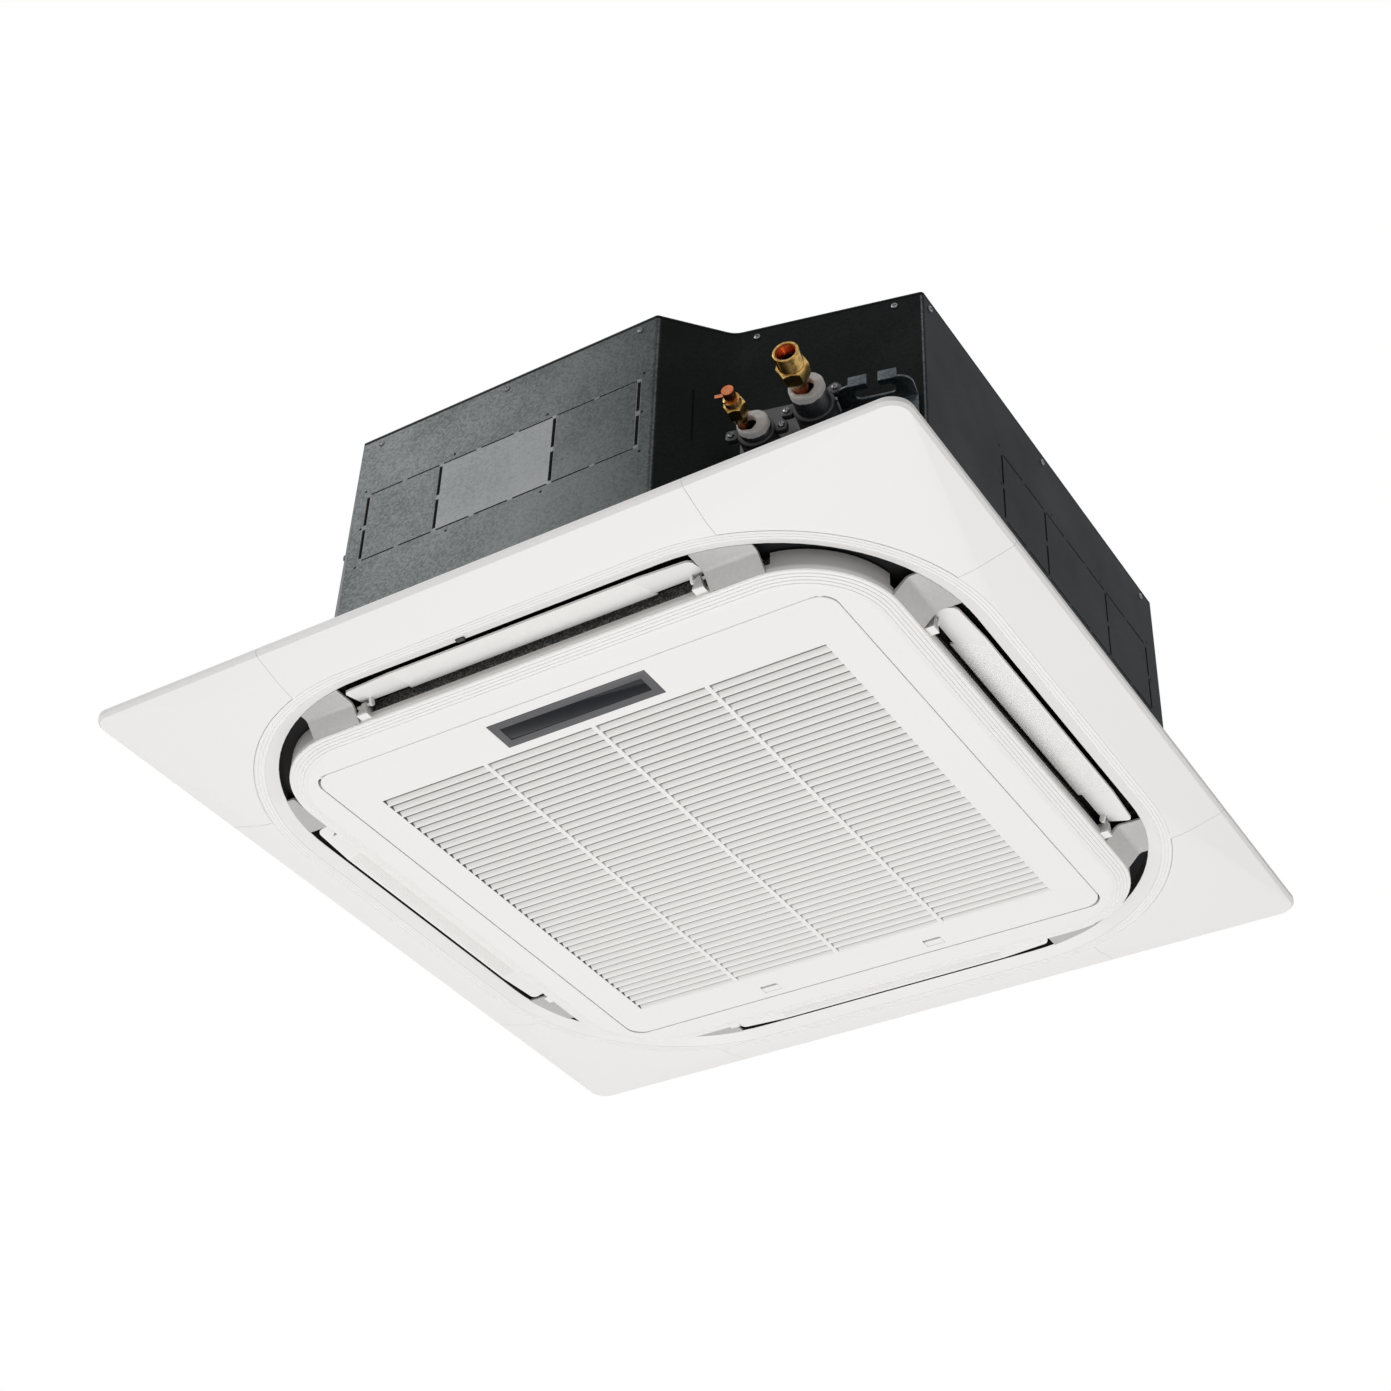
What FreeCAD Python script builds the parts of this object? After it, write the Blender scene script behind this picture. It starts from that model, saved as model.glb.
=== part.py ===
import FreeCAD, Part
import math
import os
import re
import Sketcher

# Four-way cassette air conditioner: a steel cabinet above the ceiling and a white panel below it.
# Millimetres. The origin is the middle of the panel on the ceiling plane, +Z up, the display at -Y.

doc = FreeCAD.newDocument("cassette_air_conditioner")
sheet = doc.addObject("Spreadsheet::Sheet", "Sizes")

SIZES = {
    # cuts and fits
    "overrun": 2,
    "running_clearance": 0.05,
    "seat_clearance": 0.3,
    # panel frame and corner covers
    "panel_width": 950,
    "panel_corner": 22,
    "panel_edge": 8,
    "panel_roll": 3,
    "panel_drop": 22,
    "panel_wall": 5,
    "ring_half": 424,
    "ring_centre": 180,
    "lip_half": 412,
    "slot_half": 399,
    "slot_drop": 15,
    "cover_reach": 250,
    "cover_wall": 2.5,
    "cover_gap": 0.4,
    "seal_height": 3,
    "seal_sink": 1,
    "deck_thickness": 3,
    "deck_gap": 2,
    # island frame
    "island_half": 356,
    "island_corner": 104,
    "island_rim_drop": 32,
    "island_rim_top": 22,
    "island_slope": 20,
    "island_drop": 38,
    "island_skin": 3,
    "seam_half": 310,
    "seam_corner": 19.5,
    "upstand_wall": 4,
    "upstand_height": 13,
    "barrier_inset": 11,
    "barrier_wall": 3,
    "guide_start": 272,
    "guide_top": 8,
    "guide_wall": 2.5,
    # louvre posts, pivots and louvres
    "post_start": 193.5,
    "post_base": 12.5,
    "post_tip": 5,
    "post_reach": 9,
    "post_top_radius": 3.5,
    "pivot_out": 5,
    "pivot_drop": 15,
    "pivot_pin_radius": 1.7,
    "louvre_half": 206,
    "louvre_wide_half": 148,
    "louvre_inner": 9.4,
    "louvre_outer": 31.4,
    "louvre_step": 4.5,
    "louvre_taper": 4,
    "louvre_lift": 6.3,
    "louvre_thickness": 2.2,
    "louvre_tilt": 15,
    "louvre_tip_radius": 7,
    "lug_thickness": 3,
    "lug_radius": 2.8,
    # bridges and louvre motors
    "bridge_start": 209,
    "bridge_end": 268,
    "bridge_skin": 2.5,
    "bridge_low": 29,
    "bridge_high": 16,
    "bridge_run": 15,
    "bridge_bend": 8,
    "louvre_motor_length": 20,
    "louvre_motor_width": 14.5,
    "louvre_motor_drop": 18.2,
    "louvre_motor_cheek": 2.6,
    "louvre_motor_socket": 8,
    # intake grille, latches and display
    "grille_gap": 1,
    "grille_plate": 5,
    "grille_edge_round": 1,
    "grille_corner": 22,
    "field_half": 268,
    "field_front": 242,
    "slat_pitch": 11.7,
    "slat_height": 8,
    "slat_thickness": 1.4,
    "divider_width": 5,
    "hinge_inset": 2.5,
    "hinge_rise": 1.6,
    "hinge_pin_radius": 1,
    "hinge_pin_start": 284,
    "hinge_pin_end": 305,
    "latch_offset": 107,
    "latch_width": 22,
    "latch_length": 10,
    "latch_travel": 4,
    "latch_middle": 293,
    "latch_tongue": 3,
    "display_half": 95,
    "display_middle": 274.5,
    "display_height": 41,
    "display_depth": 2.5,
    "bezel_border": 10,
    "bezel_proud": 0.4,
    "window_sink": 0.4,
    # air filter
    "filter_half": 274,
    "filter_thickness": 4,
    "filter_border": 8,
    "filter_bar": 4,
    "filter_net": 1,
    # cabinet
    "cabinet_half": 420,
    "cabinet_height": 300,
    "cabinet_wall": 1.2,
    "notch_start": 175,
    "notch_x": 229,
    "notch_y": 358,
    "notch_end": 314,
    "notch_bend": 24,
    "cabinet_bend": 4,
    "front_chamfer": 200,
    "back_chamfer": 248,
    "top_flange": 18,
    "knockout_low": 126,
    "knockout_high": 217,
    "knockout_slot": 2,
    "knockout_gap": 4,
    "knockout_tab": 3,
    "front_knockout_start": -182,
    "front_knockout_width": 340,
    "right_knockout_start": -146,
    "right_knockout_width": 363,
    "pin_hole_radius": 1.6,
    "pin_hole_offset": 7,
    "pin_hole_side": 5,
    "notch_slit_low": 140,
    "notch_slit_high": 208,
    # cabinet screws
    "screw_drop": 12,
    "screw_head_radius": 3.6,
    "screw_head": 2,
    "screw_radius": 1.9,
    "screw_length": 6,
    "front_screw_start": -175,
    "front_screw_pitch": 165,
    "side_screw_start": -299,
    "side_screw_pitch": 258,
    "notch_screw_start": 24,
    "notch_screw_pitch": 143,
    # hanger brackets
    "hanger_x": 380,
    "hanger_y": 342,
    "hanger_level": 160,
    "hanger_half": 38,
    "hanger_plate": 2.5,
    "hanger_slot_half": 20,
    "hanger_slot_width": 12,
    "hanger_mouth": 11,
    "hanger_strip": 8,
    "hanger_lip": 10,
    "hanger_round": 14,
    "hanger_flange": 45,
    "hanger_left_shift": 37,
    # refrigerant pipes and their plate
    "gas_along": 85,
    "gas_level": 154,
    "gas_radius": 7.94,
    "gas_wall": 1,
    "gas_reach": 88,
    "gas_nut_flats": 29,
    "gas_nut_start": 57,
    "gas_nut_foot": 11,
    "gas_nut_collar": 8,
    "gas_nut_hex": 15,
    "gas_nut_length": 41,
    "gas_nut_neck": 13,
    "gas_nut_mouth": 10.6,
    "gas_nut_mouth_depth": 18,
    "gas_sleeve_radius": 18,
    "gas_sleeve_length": 51,
    "gas_sleeve_shift": 5,
    "liquid_along": 23,
    "liquid_level": 136,
    "liquid_radius": 4.76,
    "liquid_wall": 0.8,
    "liquid_reach": 71,
    "liquid_nut_flats": 20,
    "liquid_nut_start": 42,
    "liquid_nut_foot": 7.5,
    "liquid_nut_collar": 8,
    "liquid_nut_hex": 14,
    "liquid_nut_length": 29,
    "liquid_nut_neck": 8.4,
    "liquid_cap_radius": 6.2,
    "liquid_cap_length": 12,
    "liquid_nib_radius": 2,
    "liquid_nib_length": 8,
    "liquid_sleeve_radius": 16,
    "liquid_sleeve_length": 37,
    "liquid_sleeve_shift": 9,
    "pipe_inside": 60,
    "pipe_plate_start": 9,
    "pipe_plate_end": 112.5,
    "pipe_plate_low": 86,
    "pipe_plate_high": 182,
    "pipe_plate": 2,
    "collar_wall": 3,
    "collar_length": 14,
    "plate_screw_radius": 3,
    "plate_screw_head": 2.5,
    "plate_screw_inset": 7,
    # foam liner and drain pan
    "liner": 15,
    "pan_height": 42,
    "outlet_half": 152,
    "outlet_inner": 350,
    "outlet_outer": 398,
    "gutter_floor": 20,
    "gutter_margin": 6,
    "pan_hole": 215,
    # heat exchanger and header tubes
    "coil_half": 306,
    "coil_thickness": 38,
    "coil_corner": 60,
    "coil_top": 280,
    "coil_gap": 91,
    "header_radius": 9,
    "header_low": 47,
    "header_high": 270,
    "feeder_radius": 4,
    "feeder_pitch": 36,
    # drain pump and outlet
    "drain_along": -45,
    "drain_level": 100,
    "drain_radius": 16,
    "drain_wall": 3,
    "drain_reach": 45,
    "drain_step": 1,
    "drain_pump_half": 40,
    "drain_pump_depth": 34,
    "drain_pump_height": 86,
    # fan, motor and bell mouth
    "fan_radius": 215,
    "fan_eye": 172,
    "fan_low": 52,
    "fan_shroud_rise": 40,
    "fan_top": 198,
    "fan_skin": 3,
    "fan_cone_radius": 92,
    "fan_hub_radius": 24,
    "fan_hub_low": 118,
    "fan_hub_length": 22,
    "fan_blade_in": 122,
    "fan_blade_sweep": 62,
    "fan_blade_belly": 12,
    "fan_blade_margin": 4,
    "shaft_radius": 6,
    "shaft_low": 96,
    "fan_nut_flats": 19,
    "fan_nut_height": 10,
    "motor_radius": 74,
    "motor_low": 206,
    "motor_high": 286,
    "motor_cap_radius": 40,
    "motor_cap_height": 8,
    "motor_foot_circle": 96,
    "motor_foot_width": 24,
    "motor_foot_height": 4,
    "motor_mount_radius": 9,
    "bell_throat": 165,
    "bell_inlet": 205,
    "bell_flange": 232,
    "bell_height": 58,
    "bell_skin": 3,
    # control box
    "box_half": 110,
    "box_front": 208,
    "box_back": 298,
    "box_drop": 20,
    "box_wall": 1.5,
    "box_cover": 1.5,
    "terminal_half": 32,
    "terminal_depth": 18,
    "terminal_height": 12,
}

SLAT_COUNT = 43

DERIVED = {
    "panel_half": "panel_width / 2",
    "grille_half": "seam_half - grille_gap",
    "barrier_half": "island_half - barrier_inset",
    "barrier_corner": "island_corner - barrier_inset",
    "pivot_u": "island_half + pivot_out",
    "hinge_y": "-(grille_half - hinge_inset)",
    "hinge_z": "hinge_rise - island_drop",
    "field_back": "slat_pitch * %d - field_front" % SLAT_COUNT,
    "cabinet_base": "seal_height",
    "top_under": "cabinet_height - cabinet_wall",
    "pan_top": "cabinet_base + pan_height",
    "wall_angle": "atan2(notch_y - notch_end; cabinet_half - notch_x)",
    "slit_angle": "atan2(cabinet_half - notch_y; notch_x - notch_start)",
    "slit_wall": "sqrt((cabinet_half - notch_y) ^ 2 + (notch_x - notch_start) ^ 2)",
    "front_gap": "(hanger_x + hanger_y - cabinet_half - front_chamfer) / 2",
    "back_gap": "(hanger_x + hanger_y - cabinet_half - back_chamfer) / 2",
    "rod_x": "hanger_x - notch_x",
    "rod_y": "notch_y - hanger_y",
    "hanger_along": "rod_x * cos(wall_angle) + rod_y * sin(wall_angle)",
    "hanger_reach": "rod_x * sin(wall_angle) - rod_y * cos(wall_angle)",
    "lining": "cabinet_wall + liner",
    "coil_inner": "coil_half - coil_thickness",
    "coil_inner_corner": "coil_corner - coil_thickness",
    "filter_low": "slat_height + seat_clearance - island_drop",
    "fan_hub_top": "fan_hub_low + fan_hub_length",
}

DIVIDER_COUNT = 3
LOUVRE_SIDES = ("back", "left", "front", "right")
CORNER_NAMES = ("back_right", "back_left", "front_left", "front_right")
KNOCKOUT_EDGE_SHARES = (0, 0.28, 0.7, 1)
KNOCKOUT_CUTS = (2, 3, 2)
PIN_COLUMNS = 4
PIPES = ("gas", "liquid")
FAN_BLADES = 7
MOTOR_FEET = 3
FEEDERS = 6
FILTER_COLUMNS = 6
FILTER_ROWS = 4
QUARTER_TURN = 90
FULL_TURN = 360
HEX_SIDES = 6

names = []
for alias, value in list(SIZES.items()) + [(key, "=" + rule) for key, rule in DERIVED.items()]:
    row = str(len(names) + 1)
    sheet.set("A" + row, alias)
    sheet.set("B" + row, str(value))
    sheet.setAlias("B" + row, alias)
    names.append(alias)
doc.recompute()

PLANES = {
    "flat": (FreeCAD.Rotation(), "z"),
    "side": (FreeCAD.Rotation(0.5, 0.5, 0.5, 0.5), "x"),
    "front": (FreeCAD.Rotation(FreeCAD.Vector(1, 0, 0), 90), "y"),
}
ROD_TURNS = {
    "x": FreeCAD.Rotation(FreeCAD.Vector(0, 1, 0), 90),
    "y": FreeCAD.Rotation(FreeCAD.Vector(1, 0, 0), -90),
    "z": FreeCAD.Rotation(),
}


# Sizes and expressions

def full(rule):
    """The rule with each size's name led by the sheet's."""
    def lead(match):
        word = match.group(0)
        return "Sizes." + word if word in names else word
    return re.sub(r"[a-z][a-z0-9_]*", lead, str(rule))


def number(rule):
    return float(sheet.evalExpression(full(rule)))


def bind(thing, prop, rule):
    thing.setExpression(prop, full(rule))


def minus(rule):
    return "-(%s)" % rule


def plus(rule, other):
    return "(%s) + (%s)" % (rule, other)


# Shapes that the pieces are made of

def constrain(sketch, kind, item, end, rule):
    index = sketch.addConstraint(Sketcher.Constraint(kind, -1, 1, item, end, number(rule)))
    bind(sketch, "Constraints[%d]" % index, rule)


def draw(sketch, corners):
    """A closed line through the corners; a corner's third value is the radius that rounds it."""
    spots = [FreeCAD.Vector(number(c[0]), number(c[1]), 0) for c in corners]
    count = len(spots)
    leave = list(spots)
    reach = list(spots)
    rounds = {}
    for i, corner in enumerate(corners):
        if len(corner) < 3:
            continue
        back = (spots[i - 1] - spots[i]).normalize()
        ahead = (spots[(i + 1) % count] - spots[i]).normalize()
        half_turn = back.getAngle(ahead) / 2
        radius = number(corner[2])
        trim = radius / math.tan(half_turn)
        reach[i] = spots[i] + back * trim
        leave[i] = spots[i] + ahead * trim
        centre = spots[i] + (back + ahead).normalize() * (radius / math.sin(half_turn))
        middle = centre + (spots[i] - centre).normalize() * radius
        rounds[i] = Part.Arc(reach[i], middle, leave[i])
    first = sketch.GeometryCount
    for i in range(count):
        sketch.addGeometry(Part.LineSegment(leave[i], reach[(i + 1) % count]))
    for i, corner in enumerate(corners):
        here = first + i
        before = first + (i - 1) % count
        if i not in rounds:
            sketch.addConstraint(Sketcher.Constraint("Coincident", before, 2, here, 1))
            constrain(sketch, "DistanceX", here, 1, corner[0])
            constrain(sketch, "DistanceY", here, 1, corner[1])
            continue
        arc = sketch.addGeometry(rounds[i])
        starts = sketch.getPoint(arc, 1).distanceToPoint(reach[i])
        near = 1 if starts < sketch.getPoint(arc, 2).distanceToPoint(reach[i]) else 2
        sketch.addConstraint(Sketcher.Constraint("Tangent", before, 2, arc, near))
        sketch.addConstraint(Sketcher.Constraint("Tangent", arc, 3 - near, here, 1))
        index = sketch.addConstraint(Sketcher.Constraint("Radius", arc, number(corner[2])))
        bind(sketch, "Constraints[%d]" % index, corner[2])
        apex = sketch.addGeometry(Part.Point(spots[i]), True)
        sketch.addConstraint(Sketcher.Constraint("PointOnObject", apex, 1, before))
        sketch.addConstraint(Sketcher.Constraint("PointOnObject", apex, 1, here))
        constrain(sketch, "DistanceX", apex, 1, corner[0])
        constrain(sketch, "DistanceY", apex, 1, corner[1])


def outline(name, corners, plane="flat", level="0"):
    sketch = doc.addObject("Sketcher::SketchObject", name)
    turn, axis = PLANES[plane]
    sketch.Placement = FreeCAD.Placement(FreeCAD.Vector(), turn)
    draw(sketch, corners)
    bind(sketch, "Placement.Base." + axis, level)
    return sketch


def rectangle(x, y, radius=None):
    """The corners of a rectangle from its two spans."""
    ends = [(x[1], y[1]), (x[0], y[1]), (x[0], y[0]), (x[1], y[0])]
    return [end + (radius,) if radius else end for end in ends]


def square(half, radius=None):
    return rectangle((minus(half), half), (minus(half), half), radius)


def prism(name, sketch, length):
    solid = doc.addObject("Part::Extrusion", name)
    solid.Base = sketch
    solid.DirMode = "Normal"
    solid.Solid = True
    bind(solid, "LengthFwd", length)
    return solid


def column(name, corners, low, high):
    """An upright solid with a flat outline between two levels."""
    return prism(name, outline(name + "_outline", corners, "flat", low), plus(high, minus(low)))


def beam(name, corners, low, high):
    """A solid along X with its section drawn in Y and Z."""
    return prism(name, outline(name + "_section", corners, "side", low), plus(high, minus(low)))


def loft(name, sections):
    """A solid through rounded squares, each given as half width, corner radius and level."""
    solid = doc.addObject("Part::Loft", name)
    solid.Sections = [
        outline("%s_section_%d" % (name, i), square(half, radius), "flat", level)
        for i, (half, radius, level) in enumerate(sections)
    ]
    solid.Solid = True
    solid.Ruled = True
    return solid


def spun(name, corners):
    """A solid turned about Z, with its section drawn in radius and height."""
    solid = doc.addObject("Part::Revolution", name)
    solid.Source = outline(name + "_section", corners, "front")
    solid.Axis = FreeCAD.Vector(0, 0, 1)
    solid.Angle = FULL_TURN
    solid.Solid = True
    return solid


def block(name, x, y, z):
    solid = doc.addObject("Part::Box", name)
    for prop, axis, (low, high) in (("Length", "x", x), ("Width", "y", y), ("Height", "z", z)):
        bind(solid, prop, plus(high, minus(low)))
        bind(solid, "Placement.Base." + axis, low)
    return solid


def rod(name, axis, radius, low, high, across):
    """A round bar along an axis; across gives its place on the other two axes."""
    solid = doc.addObject("Part::Cylinder", name)
    solid.Placement = FreeCAD.Placement(FreeCAD.Vector(), ROD_TURNS[axis])
    bind(solid, "Radius", radius)
    bind(solid, "Height", plus(high, minus(low)))
    bind(solid, "Placement.Base." + axis, low)
    for other, place in zip([a for a in "xyz" if a != axis], across):
        bind(solid, "Placement.Base." + other, place)
    return solid


def cone(name, axis, low_radius, high_radius, low, high, across):
    solid = doc.addObject("Part::Cone", name)
    solid.Placement = FreeCAD.Placement(FreeCAD.Vector(), ROD_TURNS[axis])
    bind(solid, "Radius1", low_radius)
    bind(solid, "Radius2", high_radius)
    bind(solid, "Height", plus(high, minus(low)))
    bind(solid, "Placement.Base." + axis, low)
    for other, place in zip([a for a in "xyz" if a != axis], across):
        bind(solid, "Placement.Base." + other, place)
    return solid


def fuse(name, *solids):
    whole = doc.addObject("Part::MultiFuse", name)
    whole.Shapes = list(solids)
    whole.Refine = True
    return whole


def cut(name, base, *tools):
    rest = doc.addObject("Part::Cut", name)
    rest.Base = base
    rest.Tool = tools[0] if len(tools) == 1 else fuse(name + "_tools", *tools)
    rest.Refine = True
    return rest


def common(name, *solids):
    shared = doc.addObject("Part::MultiCommon", name)
    shared.Shapes = list(solids)
    shared.Refine = True
    return shared


def group(name, *solids):
    together = doc.addObject("Part::Compound", name)
    together.Links = list(solids)
    return together


def turned(name, solid, quarters):
    copy = group(name, solid)
    copy.Placement = FreeCAD.Placement(
        FreeCAD.Vector(), FreeCAD.Rotation(FreeCAD.Vector(0, 0, 1), QUARTER_TURN * quarters)
    )
    return copy


def mirrored(name, solid):
    """The solid's image across the plane of Y and Z."""
    image = doc.addObject("Part::Mirroring", name)
    image.Source = solid
    image.Normal = FreeCAD.Vector(1, 0, 0)
    return image


def all_round(name, solid):
    """Four copies of a solid, a quarter turn apart."""
    return group(name, *[turned("%s_%d" % (name, k), solid, k) for k in range(4)])


def hex_corners(flats, x, y):
    """A hexagon's corners about a point, from its width across flats."""
    corners = []
    for k in range(HEX_SIDES):
        angle = FULL_TURN / HEX_SIDES * k
        corners.append((
            "(%s) + (%s) / sqrt(3) * cos(%g)" % (x, flats, angle),
            "(%s) + (%s) / sqrt(3) * sin(%g)" % (y, flats, angle),
        ))
    return corners


pieces = []


def piece(solid):
    pieces.append(solid)
    return solid


# The cabinet's walls: a point on each, and its turn. Along a wall is +X there, and outward is -Y.

WALLS = {
    "front": ("0", "-cabinet_half", "0"),
    "right": ("cabinet_half", "0", "90"),
    "back": ("0", "cabinet_half", "180"),
    "left": ("-cabinet_half", "0", "270"),
    "notch": ("notch_x", "-notch_y", "wall_angle"),
    "notch_side": ("notch_start", "-cabinet_half", "slit_angle"),
    "front_left": ("front_gap - hanger_x", "front_gap - hanger_y", "315"),
    "back_right": ("hanger_x - back_gap", "hanger_y - back_gap", "135"),
    "back_left": ("back_gap - hanger_x", "hanger_y - back_gap", "225"),
    "drain": ("-(cabinet_half + back_chamfer) / 2", "(cabinet_half + back_chamfer) / 2", "225"),
}


def on_wall(name, wall, *solids):
    """The solids, drawn about the origin, set on one of the cabinet's walls."""
    placed = group(name, *solids)
    x, y, turn = WALLS[wall]
    bind(placed, "Placement.Base.x", x)
    bind(placed, "Placement.Base.y", y)
    bind(placed, "Placement.Rotation.Angle", turn)
    return placed


def out_rod(name, radius, start, end, along, level):
    """A round bar square to a wall, between two distances out from it."""
    return rod(name, "y", radius, minus(end), minus(start), (along, level))


# Panel frame: a shallow white tray with a wide round-cornered opening, a lip that turns up inside
# and a deck that closes each corner of the opening above the louvres

def tray(name, wall):
    """The panel's outside, or the space that a wall of this thickness leaves in it."""
    ring_corner = "ring_half - ring_centre"
    rim_half = plus("panel_half", minus(wall))
    rim_corner = plus("panel_corner", minus(wall))
    top = "overrun" if wall != "0" else "0"
    return loft(name, [
        (rim_half, rim_corner, top),
        (rim_half, rim_corner, plus("panel_roll - panel_edge", wall)),
        (plus(rim_half, "-panel_roll"), plus(rim_corner, "-panel_roll"), plus("-panel_edge", wall)),
        ("ring_half", ring_corner, plus("-panel_drop", wall)),
    ])


def ring_column(name, half, low, high):
    return column(name, square(half, plus(half, "-ring_centre")), low, high)


def cover_region(name, gap):
    """One corner of the panel outside the ring, less a gap."""
    span = (plus("cover_reach", gap), "panel_half + overrun")
    corner = block(name + "_block", span, span, ("-panel_drop - overrun", "overrun"))
    levels = ("-panel_drop - overrun * 2", "overrun * 2")
    inside = ring_column(name + "_inside", plus("ring_half", gap), *levels)
    return cut(name, corner, inside)


panel_outside = tray("panel_outside", "0")
lip_slope = "(lip_half - slot_half) / (panel_drop - slot_drop)"
flare_half = "lip_half + overrun * " + lip_slope
panel_opening = loft("panel_opening", [
    (flare_half, flare_half + " - ring_centre", "-panel_drop - overrun"),
    ("slot_half", "slot_half - ring_centre", "-slot_drop"),
    ("slot_half", "slot_half - ring_centre", "overrun"),
])
panel_core = ring_column("panel_core", "slot_half + panel_wall", "-panel_drop", "overrun * 2")
panel_hollow = cut("panel_hollow", tray("panel_space", "panel_wall"), panel_core)
cover_pocket = cut(
    "cover_pocket",
    common("cover_pocket_corner", panel_outside, cover_region("cover_pocket_region", "0")),
    tray("cover_pocket_floor", "cover_wall + seat_clearance"),
)
seal_seat = ring_column("seal_seat", "slot_half + panel_wall + overrun", "-seal_sink", "overrun")
cover_pockets = all_round("cover_pockets", cover_pocket)
panel_tray = cut("panel_tray", panel_outside, panel_hollow, panel_opening, seal_seat, cover_pockets)
deck_levels = ("-seal_sink - deck_thickness", "-seal_sink")
deck_span = ("louvre_half + deck_gap", "slot_half + panel_wall")
louvre_motor_start = "bridge_start + seat_clearance"
louvre_motor_end = louvre_motor_start + " + louvre_motor_length"
deck_motor_gap = block(
    "deck_motor_gap",
    (louvre_motor_start + " - seat_clearance", louvre_motor_end + " + seat_clearance"),
    ("barrier_half", "pivot_u + louvre_motor_cheek + seat_clearance"),
    ("-panel_drop", "overrun"),
)
deck_inside = column(
    "deck_inside",
    square("barrier_half + seat_clearance", "barrier_corner + seat_clearance"),
    "-panel_drop",
    "overrun",
)
corner_deck = cut(
    "corner_deck",
    common(
        "deck_corner",
        ring_column("deck_outside", "slot_half + panel_wall / 2", *deck_levels),
        block("deck_corner_block", deck_span, deck_span, ("-panel_drop", "overrun")),
    ),
    deck_inside,
    deck_motor_gap,
)
piece(fuse("panel_frame", panel_tray, all_round("corner_decks", corner_deck)))

# Corner covers: one thin moulding over each corner of the frame

corner_cover = cut(
    "corner_cover",
    common("corner_cover_skin", panel_outside, cover_region("corner_cover_region", "cover_gap")),
    tray("corner_cover_space", "cover_wall"),
)
for quarter, corner in enumerate(CORNER_NAMES):
    piece(turned("corner_cover_" + corner, corner_cover, quarter))

# Panel seal: a foam strip between the frame's inner wall and the cabinet

piece(cut(
    "panel_seal",
    ring_column("seal_outside", "slot_half + panel_wall", "-seal_sink", "seal_height"),
    ring_column("seal_inside", "slot_half", "-overrun", "seal_height + overrun"),
))

# Island frame: the white ring between the outlet slot and the grille, with its louvre posts


def island_column(name, inset, low, high):
    half = plus("island_half", minus(inset))
    return column(name, square(half, plus("island_corner", minus(inset))), low, high)


island_outside = loft("island_outside", [
    ("island_half", "island_corner", "-island_rim_top"),
    ("island_half", "island_corner", "-island_rim_drop"),
    ("island_half - island_slope", "island_corner - island_slope", "-island_drop"),
])
island_hollow = loft("island_hollow", [
    ("island_half - island_skin", "island_corner - island_skin", "overrun - island_rim_top"),
    ("island_half - island_skin", "island_corner - island_skin", "island_skin - island_rim_drop"),
    (
        "island_half - island_skin - island_slope",
        "island_corner - island_skin - island_slope",
        "island_skin - island_drop",
    ),
])
island_dish = cut("island_dish", island_outside, island_hollow)
upstand = column(
    "upstand",
    square("seam_half + upstand_wall", "seam_corner + upstand_wall"),
    "-island_drop",
    "upstand_height - island_drop",
)
barrier_low = "island_skin / 2 - island_rim_drop - island_drop / island_slope"
barrier = cut(
    "barrier",
    island_column("barrier_outside", "barrier_inset", barrier_low, "seal_height"),
    island_column("barrier_inside", "barrier_inset + barrier_wall", "-island_drop", "seal_height + overrun"),
)
guide_wall = cut(
    "guide_wall",
    island_column("guide_outside", "0", "-island_rim_top", "-guide_top"),
    island_column("guide_inside", "guide_wall", "-island_drop", "overrun"),
)
guide_span = ("guide_start", "island_half + overrun")
corner_guide = common(
    "corner_guide", guide_wall, block("guide_corner", guide_span, guide_span, ("-island_drop", "overrun"))
)
post_lean = "(post_base - post_tip) / 2"
post_low = "island_skin - island_rim_drop"
post_depth = "post_reach + island_skin"
post_web = prism(
    "post_web",
    outline("post_web_outline", [
        ("post_start", post_low),
        ("post_start + post_base", post_low),
        ("post_start + " + post_lean + " + post_tip", "-pivot_drop"),
        ("post_start + " + post_lean, "-pivot_drop"),
    ], "front", "island_half + post_reach"),
    post_depth,
)
pivot_place = ("pivot_u", "-pivot_drop")
eye_start = "post_start + " + post_lean
post_eye = rod("post_eye", "x", "post_top_radius", eye_start, eye_start + " + post_tip", pivot_place)
post = fuse("post", post_web, post_eye)
posts = group("posts", post, mirrored("post_image", post))
pivot_hole_radius = "pivot_pin_radius + running_clearance"
pivot_hole_end = "post_start + post_base + overrun"
pivot_holes = rod("pivot_hole", "x", pivot_hole_radius, minus(pivot_hole_end), pivot_hole_end, pivot_place)
grille_seat = column("grille_seat", square("seam_half", "seam_corner"), "-island_drop - overrun", "overrun")
hinge_holes = rod(
    "hinge_holes",
    "x",
    "hinge_pin_radius + running_clearance",
    "-hinge_pin_end - running_clearance",
    "hinge_pin_end + running_clearance",
    ("hinge_y", "hinge_z"),
)
island_solid = fuse(
    "island_solid",
    island_dish,
    upstand,
    barrier,
    all_round("corner_guides", corner_guide),
    all_round("all_posts", posts),
)
piece(cut("island_frame", island_solid, grille_seat, hinge_holes, all_round("all_pivot_holes", pivot_holes)))

# Bridges: two bent arms at each corner that carry the island across the outlet slot

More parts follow.
